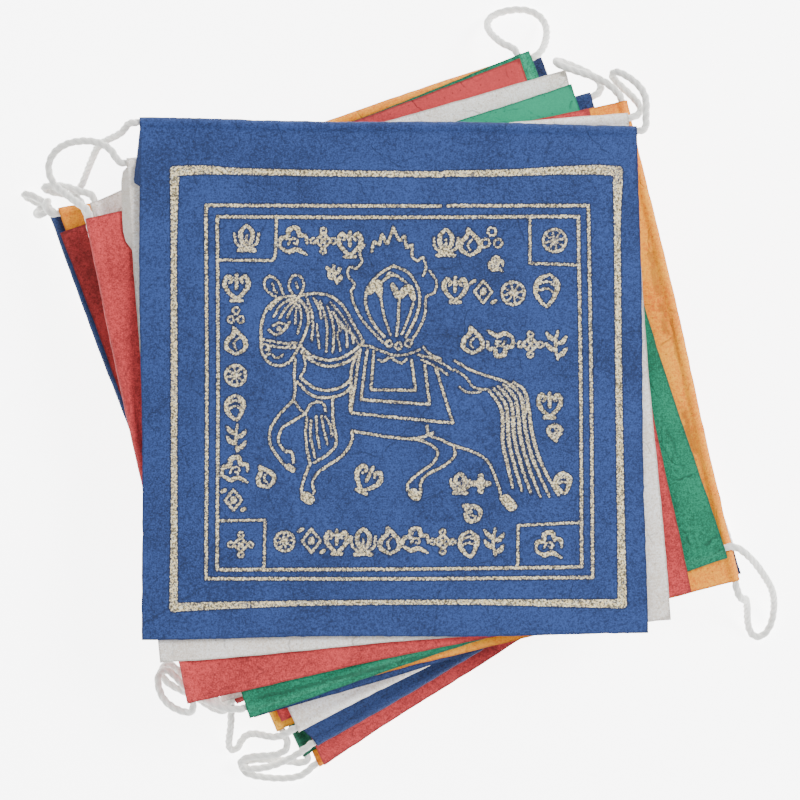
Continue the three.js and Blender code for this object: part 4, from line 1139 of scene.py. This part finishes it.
def print_strokes():
    """Every stroke of the print as a list of x, y and half width."""
    strokes = []

    def draw(width, points):
        ends, middle = width if isinstance(width, tuple) else (width, width)
        last = max(1, len(points) - 1)
        shares = [math.sin(math.pi * i / last) ** 0.7 for i in range(len(points))]
        strokes.append([(p[0], p[1], (ends + (middle - ends) * s) / 2) for p, s in zip(points, shares)])

    for band in BAND:
        strokes.append([(x, y, width * BAND_SHARE / 2) for x, y, width in smooth_line(band, 2.0)])
    for corners in (OUTER_FRAME, INNER_FRAME):
        for a, b in zip(corners, corners[1:] + corners[:1]):
            if corners is OUTER_FRAME and a[1] > 0 and b[1] > 0:
                draw(FRAME, [a, (FRAME_BREAK[0], a[1] - 0.1)])
                draw(FRAME, [(FRAME_BREAK[1], b[1] - 0.1), b])
            else:
                middle = ((a[0] + b[0]) / 2 + 0.25, (a[1] + b[1]) / 2 - 0.25)
                draw(FRAME, smooth_line([a, middle, b], 6.0))
    for box in BOXES + SADDLE_CLOTH:
        draw(LINE, box)
    for width, points in HORSE + mane_and_tail() + JEWEL:
        draw(width, smooth_line(points))
    for drawing, x, y, size, turn in ORNAMENTS:
        cos, sin = math.cos(math.radians(turn)) * size, math.sin(math.radians(turn)) * size
        for width, points in drawing():
            line = smooth_line(points)
            draw(width, [(x + px * cos - py * sin, y + px * sin + py * cos) for px, py in line])
    return strokes


def ink_depth(points):
    """How deep inside the nearest stroke each point lies, in millimetres, and below zero outside."""
    depth = np.full(len(points), NO_INK)
    for stroke in print_strokes():
        stroke = np.array(stroke)
        low = stroke[:, :2].min(axis=0) - INK_REACH
        high = stroke[:, :2].max(axis=0) + INK_REACH
        near = np.where(np.all((points > low) & (points < high), axis=1))[0]
        for (ax, ay, aw), (bx, by, bw) in zip(stroke, stroke[1:]):
            x, y = points[near, 0], points[near, 1]
            in_x = (x > min(ax, bx) - INK_REACH) & (x < max(ax, bx) + INK_REACH)
            in_y = (y > min(ay, by) - INK_REACH) & (y < max(ay, by) + INK_REACH)
            box = near[in_x & in_y]
            span = np.array((bx - ax, by - ay))
            length = max(1e-9, float(span @ span))
            t = np.clip(((points[box] - (ax, ay)) @ span) / length, 0, 1)
            gap = np.linalg.norm(points[box] - (ax, ay) - t[:, None] * span, axis=1)
            depth[box] = np.maximum(depth[box], aw + (bw - aw) * t - gap)
    return depth


# Cord
STRANDS = 3
CORD_SIDES = 18
RING_STEP = 0.42 * MM
INTO_HEM = 1.5 * MM  # how far the cord runs on inside a hem
SLIM_IN_HEM = 0.93  # its thickness there, as a share
BARE_END = 1.2 * MM  # over what length a bare end is rounded
EASING = 22  # passes that smooth its small kinks away
GROOVE_DEPTH = 0.18  # depth of the groove between two strands, as a share of the radius


def cord_line(route):
    """Points close together along the smooth curve through a route, as the part's own curve runs."""
    p = [Vector(q) for q in route]
    p = [2 * p[0] - p[1]] + p + [2 * p[-1] - p[-2]]
    line = []
    for a, b, c, d in zip(p, p[1:], p[2:], p[3:]):
        before, span, after = math.sqrt((b - a).length), math.sqrt((c - b).length), math.sqrt((d - c).length)
        leave = ((b - a) / before - (c - a) / (before + span) + (c - b) / span) * span
        arrive = ((c - b) / span - (d - b) / (span + after) + (d - c) / after) * span
        count = max(4, round((c - b).length / (0.25 * MM)))
        for i in range(count):
            t = i / count
            line.append(
                (2 * t**3 - 3 * t**2 + 1) * b
                + (t**3 - 2 * t**2 + t) * leave
                + (3 * t**2 - 2 * t**3) * c
                + (t**3 - t**2) * arrive
            )
    line.append(p[-2])
    return line


def even_steps(line, step):
    """The same line with its points one step apart."""
    total = sum((b - a).length for a, b in zip(line, line[1:]))
    count = max(8, round(total / step))
    points = [line[0].copy()]
    walked, k = 0.0, 0
    for i in range(1, count):
        goal = total * i / count
        while walked + (line[k + 1] - line[k]).length < goal:
            walked += (line[k + 1] - line[k]).length
            k += 1
        share = (goal - walked) / (line[k + 1] - line[k]).length
        points.append(line[k].lerp(line[k + 1], share))
    points.append(line[-1].copy())
    return points


def eased(points):
    """The same points with small kinks smoothed away and the ends kept."""
    for _ in range(EASING):
        inner = [(a + 2 * b + c) / 4 for a, b, c in zip(points, points[1:], points[2:])]
        points = [points[0]] + inner + [points[-1]]
    return points


def rope_radius(angle, radius):
    """Outline of three strands laid together, at an angle round the cord."""
    strand = 0.464 * radius
    middle = radius - strand
    bearing = (angle * STRANDS / (2 * math.pi) + 0.5) % 1.0 - 0.5
    bearing *= 2 * math.pi / STRANDS
    inside = max(0.0, strand * strand - (middle * math.sin(bearing)) ** 2)
    reach = middle * math.cos(bearing) + math.sqrt(inside)
    return max(0.8 * radius, 0.48 * radius + 0.52 * reach)


def rope(name, route, sizes, bare, seed):
    """A twisted cord along a route, from one hem to another or to a bare end."""
    path = cord_line(route)
    path = [path[0] + (path[0] - path[1]).normalized() * INTO_HEM] + path
    if not bare:
        path = path + [path[-1] + (path[-1] - path[-2]).normalized() * INTO_HEM]
    path = even_steps(eased(even_steps(path, RING_STEP)), RING_STEP)
    points, grooves, lays = [], [], []
    side = Vector((0, 0, 1))
    walked = 0.0
    for i, here in enumerate(path):
        ahead = (path[min(i + 1, len(path) - 1)] - path[max(i - 1, 0)]).normalized()
        side = (side - ahead * side.dot(ahead)).normalized()
        other = ahead.cross(side)
        walked += (here - path[i - 1]).length if i else 0.0
        radius = sizes.cord / 2 * (1.02 + 0.05 * noise.noise(Vector((walked / 0.004, seed, 0))))
        left = len(path) - 1 - i
        in_hem = min(i, left) if not bare else i
        if in_hem * RING_STEP < INTO_HEM * 1.15:
            radius = min(radius, sizes.cord / 2 * SLIM_IN_HEM)
        from_end = min(walked, (len(path) - 1) * RING_STEP - walked)
        if bare and from_end < BARE_END and walked > MM:
            radius *= math.sqrt(max(0.2, 1 - (1 - from_end / BARE_END) ** 2))
        phase = 2 * math.pi * walked / sizes.twist + seed
        for k in range(CORD_SIDES):
            angle = 2 * math.pi * k / CORD_SIDES
            reach = rope_radius(angle - phase, radius)
            fluff = 1 + 0.035 * noise.noise(here / 0.0007 + Vector((k, seed, 0)))
            points.append(here + (side * math.cos(angle) + other * math.sin(angle)) * reach * fluff)
            grooves.append((1 - reach / radius) / GROOVE_DEPTH)
            lays.append((angle - phase, walked))
    rings = len(path)
    faces = []
    for i in range(rings - 1):
        for k in range(CORD_SIDES):
            n = (k + 1) % CORD_SIDES
            a = i * CORD_SIDES
            faces.append((a + k, a + n, a + CORD_SIDES + n, a + CORD_SIDES + k))
    faces.append(tuple(reversed(range(CORD_SIDES))))
    faces.append(tuple(range((rings - 1) * CORD_SIDES, rings * CORD_SIDES)))
    mesh = bpy.data.meshes.new(name + "_cord")
    mesh.from_pydata([tuple(p) for p in points], [], faces)
    groove = mesh.attributes.new("groove", "FLOAT", "POINT")
    groove.data.foreach_set("value", grooves)
    layer = mesh.uv_layers.new(name="lay")
    for polygon in mesh.polygons:
        for loop in polygon.loop_indices:
            vertex = mesh.loops[loop].vertex_index
            around, along = lays[vertex]
            if polygon.index < (rings - 1) * CORD_SIDES and polygon.index % CORD_SIDES == CORD_SIDES - 1:
                if vertex % CORD_SIDES == 0:
                    around += 2 * math.pi
            layer.data[loop].uv = (around / (2 * math.pi) * STRANDS, along)
    return smoothed_piece(name + "_cord", mesh, 70), path


# Operators
FLOOR_SIZE = 6.0
FLOOR_GAP = 0.02 * MM  # how far the floor lies below the lowest sheet
WORLD_LIGHT = 0.72
# Each light's name, place, size and power
LIGHTS = (
    ("main_light", (1.0, 0.45, 1.3), 0.6, 36.0),
    ("fill_light", (-0.7, -0.5, 1.5), 1.4, 7.0),
)
# The photograph looks straight down, and 240 mm of the top flag's level fill its width
CAMERA_PLACE = (1.5 * MM, 3.6 * MM)
CAMERA_HEIGHT = 1.2
VIEW_WIDTH = 0.24
SENSOR = 36
PALE_FLOOR = {
    "Base Color": (0.95, 0.95, 0.95, 1.0),
    "Roughness": 0.9,
    "Emission Color": (1.0, 1.0, 1.0, 1.0),
    "Emission Strength": 6.0,
}


class FLAGSTRING_OT_stage(bpy.types.Operator):
    """Adds the pale floor, the soft light and the camera above the stack"""

    bl_idname = "flagstring.stage"
    bl_label = "Stage and Camera"

    def execute(self, context):
        scene = context.scene
        bpy.ops.object.select_all(action="DESELECT")
        bpy.ops.mesh.primitive_plane_add(size=FLOOR_SIZE, location=(0, 0, -FLOOR_GAP))
        floor = context.object
        floor.name = "floor"
        shader = Shader("pale_floor")
        floor.data.materials.append(shader.surface(PALE_FLOOR))

        world = bpy.data.worlds.new("studio") if scene.world is None else scene.world
        scene.world = world
        world.use_nodes = True
        background = world.node_tree.nodes["Background"]
        background.inputs["Color"].default_value = (1, 1, 1, 1)
        background.inputs["Strength"].default_value = WORLD_LIGHT
        for name, place, size, power in LIGHTS:
            bpy.ops.object.light_add(type="AREA", location=place)
            light = context.object
            light.name = name
            light.data.size = size
            light.data.energy = power
            light.rotation_euler = (Vector((0, 0, 0)) - Vector(place)).to_track_quat("-Z", "Y").to_euler()

        place = (*CAMERA_PLACE, TOP_FLAG.z + CAMERA_HEIGHT)
        bpy.ops.object.camera_add(location=place, rotation=(0, 0, 0))
        camera = context.object
        camera.name = "camera"
        camera.data.sensor_width = SENSOR
        camera.data.lens = SENSOR * CAMERA_HEIGHT / VIEW_WIDTH
        camera.data.clip_start = 0.01
        scene.camera = camera
        return {"FINISHED"}


class FLAGSTRING_OT_cord(bpy.types.Operator):
    """Adds the cord's two free ends and its loops from hem to hem"""

    bl_idname = "flagstring.cord"
    bl_label = "Cord"

    def execute(self, context):
        sizes = context.scene.flag_string_sizes
        cotton = cotton_material("twisted_cotton", tuple(context.scene.flag_string_colours.cotton))
        for seed, (name, places) in enumerate(ROUTES.items()):
            route = [tuple(round(value * MM, 5) for value in place) for place in places]
            tail = name.startswith("tail")
            piece, path = rope(name, route, sizes, tail, seed + 0.5)
            piece.data.materials.append(cotton)
            length = sum((b - a).length for a, b in zip(path, path[1:]))
            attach(piece, "root")
            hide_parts(name)
        return {"FINISHED"}


class FLAGSTRING_OT_flags(bpy.types.Operator):
    """Adds the nineteen plain flags under the top one"""

    bl_idname = "flagstring.flags"
    bl_label = "Plain Flags"

    def execute(self, context):
        sizes = context.scene.flag_string_sizes
        colours = context.scene.flag_string_colours
        for number, flag in enumerate(FLAGS[1:], start=2):
            rows = hem_rows(flag.inset)
            depth = flag.tall if flag.hem in ("top", "bottom") else flag.wide
            rows += field_rows(rows[-1], depth, flap_length(number, sizes), PLAIN_STEP)
            first, last = HEM_ENDS[-1], 1 - HEM_ENDS[-1]
            middle = [first + (last - first) * i / PLAIN_COLUMNS for i in range(1, PLAIN_COLUMNS)]
            along = [*HEM_ENDS, *middle, *(1 - end for end in reversed(HEM_ENDS))]
            piece = Sheet(number, sizes, rows, along).build()
            # the dye made lighter or darker, partly by its own depth and partly with painted light and shade
            dye = tinted(getattr(colours, flag.paper), DYE_AND_PAINTED_LIGHT[number - 1])
            rough = BLUE_GRAIN if flag.paper == "blue" else GRAIN
            more = {"lines": CREASES.get(number, ()), "patch": PATCHES.get(number)}
            name = f"{flag.paper}_paper_{number:02d}"
            paper = paper_material(name, dye, math.radians(-flag.turn), number, rough, **more)
            piece.data.materials.append(paper)
            declare_flag(piece, number, sizes)
        return {"FINISHED"}


class FLAGSTRING_OT_printed_flag(bpy.types.Operator):
    """Adds the top flag with its gold print of a galloping horse in a frame"""

    bl_idname = "flagstring.printed_flag"
    bl_label = "Printed Flag"

    def execute(self, context):
        sizes = context.scene.flag_string_sizes
        colours = context.scene.flag_string_colours
        flag = TOP_FLAG
        step = PRINT_STEP
        middle_x, middle_y = flag.wide / 2, flag.tall / 2

        # rows down the sheet: the hem, the margin, the print and the lower margin
        rows = hem_rows(flag.inset)
        plain = len(rows)
        start, end = middle_y - PRINT_TOP, middle_y + PRINT_BOTTOM
        rows += field_rows(rows[-1], start, rows[-1] + 4 * MM, 1.4 * MM)
        rows += evenly(start, end, round((end - start) / step))
        rows += evenly(end, flag.tall, 4)

        # columns across it
        left, right = (middle_x - PRINT_LEFT) / flag.wide, (middle_x + PRINT_RIGHT) / flag.wide
        along = [*HEM_ENDS, left, *evenly(left, right, round((right - left) * flag.wide / step)), 0.992, 1.0]

        # its back needs fewer rows: every second one on the flap, and every eleventh below it
        flap_rows = sum(across < flap_length(1, sizes) + MM for across in rows)
        last = len(rows) - 1
        under = [*range(plain), *range(plain, flap_rows, 2), *range(flap_rows, last, 11), last]
        piece = Sheet(1, sizes, rows, along, under).build()

        places = np.empty(len(piece.data.vertices) * 3)
        piece.data.vertices.foreach_get("co", places)
        places = places.reshape(-1, 3)
        angle = math.radians(-flag.turn)
        cos, sin = math.cos(angle), math.sin(angle)
        x, y = (places[:, 0] - flag.x) / MM, (places[:, 1] - flag.y) / MM
        depth = ink_depth(np.stack((x * cos - y * sin, x * sin + y * cos), axis=1))
        depth[len(rows) * len(along) :] = NO_INK
        ink = piece.data.attributes.new("ink", "FLOAT", "POINT")
        ink.data.foreach_set("value", depth)
        dye, print_ink = tuple(colours.blue), tuple(colours.ink)
        paper = paper_material("printed_blue_paper", dye, angle, 1, BLUE_GRAIN, print_ink, CREASES[1])
        piece.data.materials.append(paper)
        declare_flag(piece, 1, sizes)
        return {"FINISHED"}


class FLAGSTRING_PT_panel(bpy.types.Panel):
    """Sizes, colours and pieces of the flag string"""

    bl_idname = "FLAGSTRING_PT_panel"
    bl_label = "Flag String"
    bl_space_type = "VIEW_3D"
    bl_region_type = "UI"
    bl_category = "Flags"

    def draw(self, context):
        for group in (context.scene.flag_string_sizes, context.scene.flag_string_colours):
            column = self.layout.column()
            for name in group.bl_rna.properties.keys():
                if name not in ("rna_type", "name"):
                    column.prop(group, name)
        for operator in OPERATORS:
            self.layout.operator(operator.bl_idname)


OPERATORS = (FLAGSTRING_OT_stage, FLAGSTRING_OT_cord, FLAGSTRING_OT_flags, FLAGSTRING_OT_printed_flag)
CLASSES = (FlagStringSizes, FlagStringColours, *OPERATORS, FLAGSTRING_PT_panel)


def register():
    for cls in CLASSES:
        bpy.utils.register_class(cls)
    bpy.types.Scene.flag_string_sizes = PointerProperty(type=FlagStringSizes)
    bpy.types.Scene.flag_string_colours = PointerProperty(type=FlagStringColours)


def unregister():
    del bpy.types.Scene.flag_string_colours
    del bpy.types.Scene.flag_string_sizes
    for cls in reversed(CLASSES):
        bpy.utils.unregister_class(cls)


def main():
    register()
    bpy.ops.flagstring.stage()
    bpy.ops.flagstring.cord()
    bpy.ops.flagstring.flags()
    bpy.ops.flagstring.printed_flag()


if __name__ == "__main__":
    main()
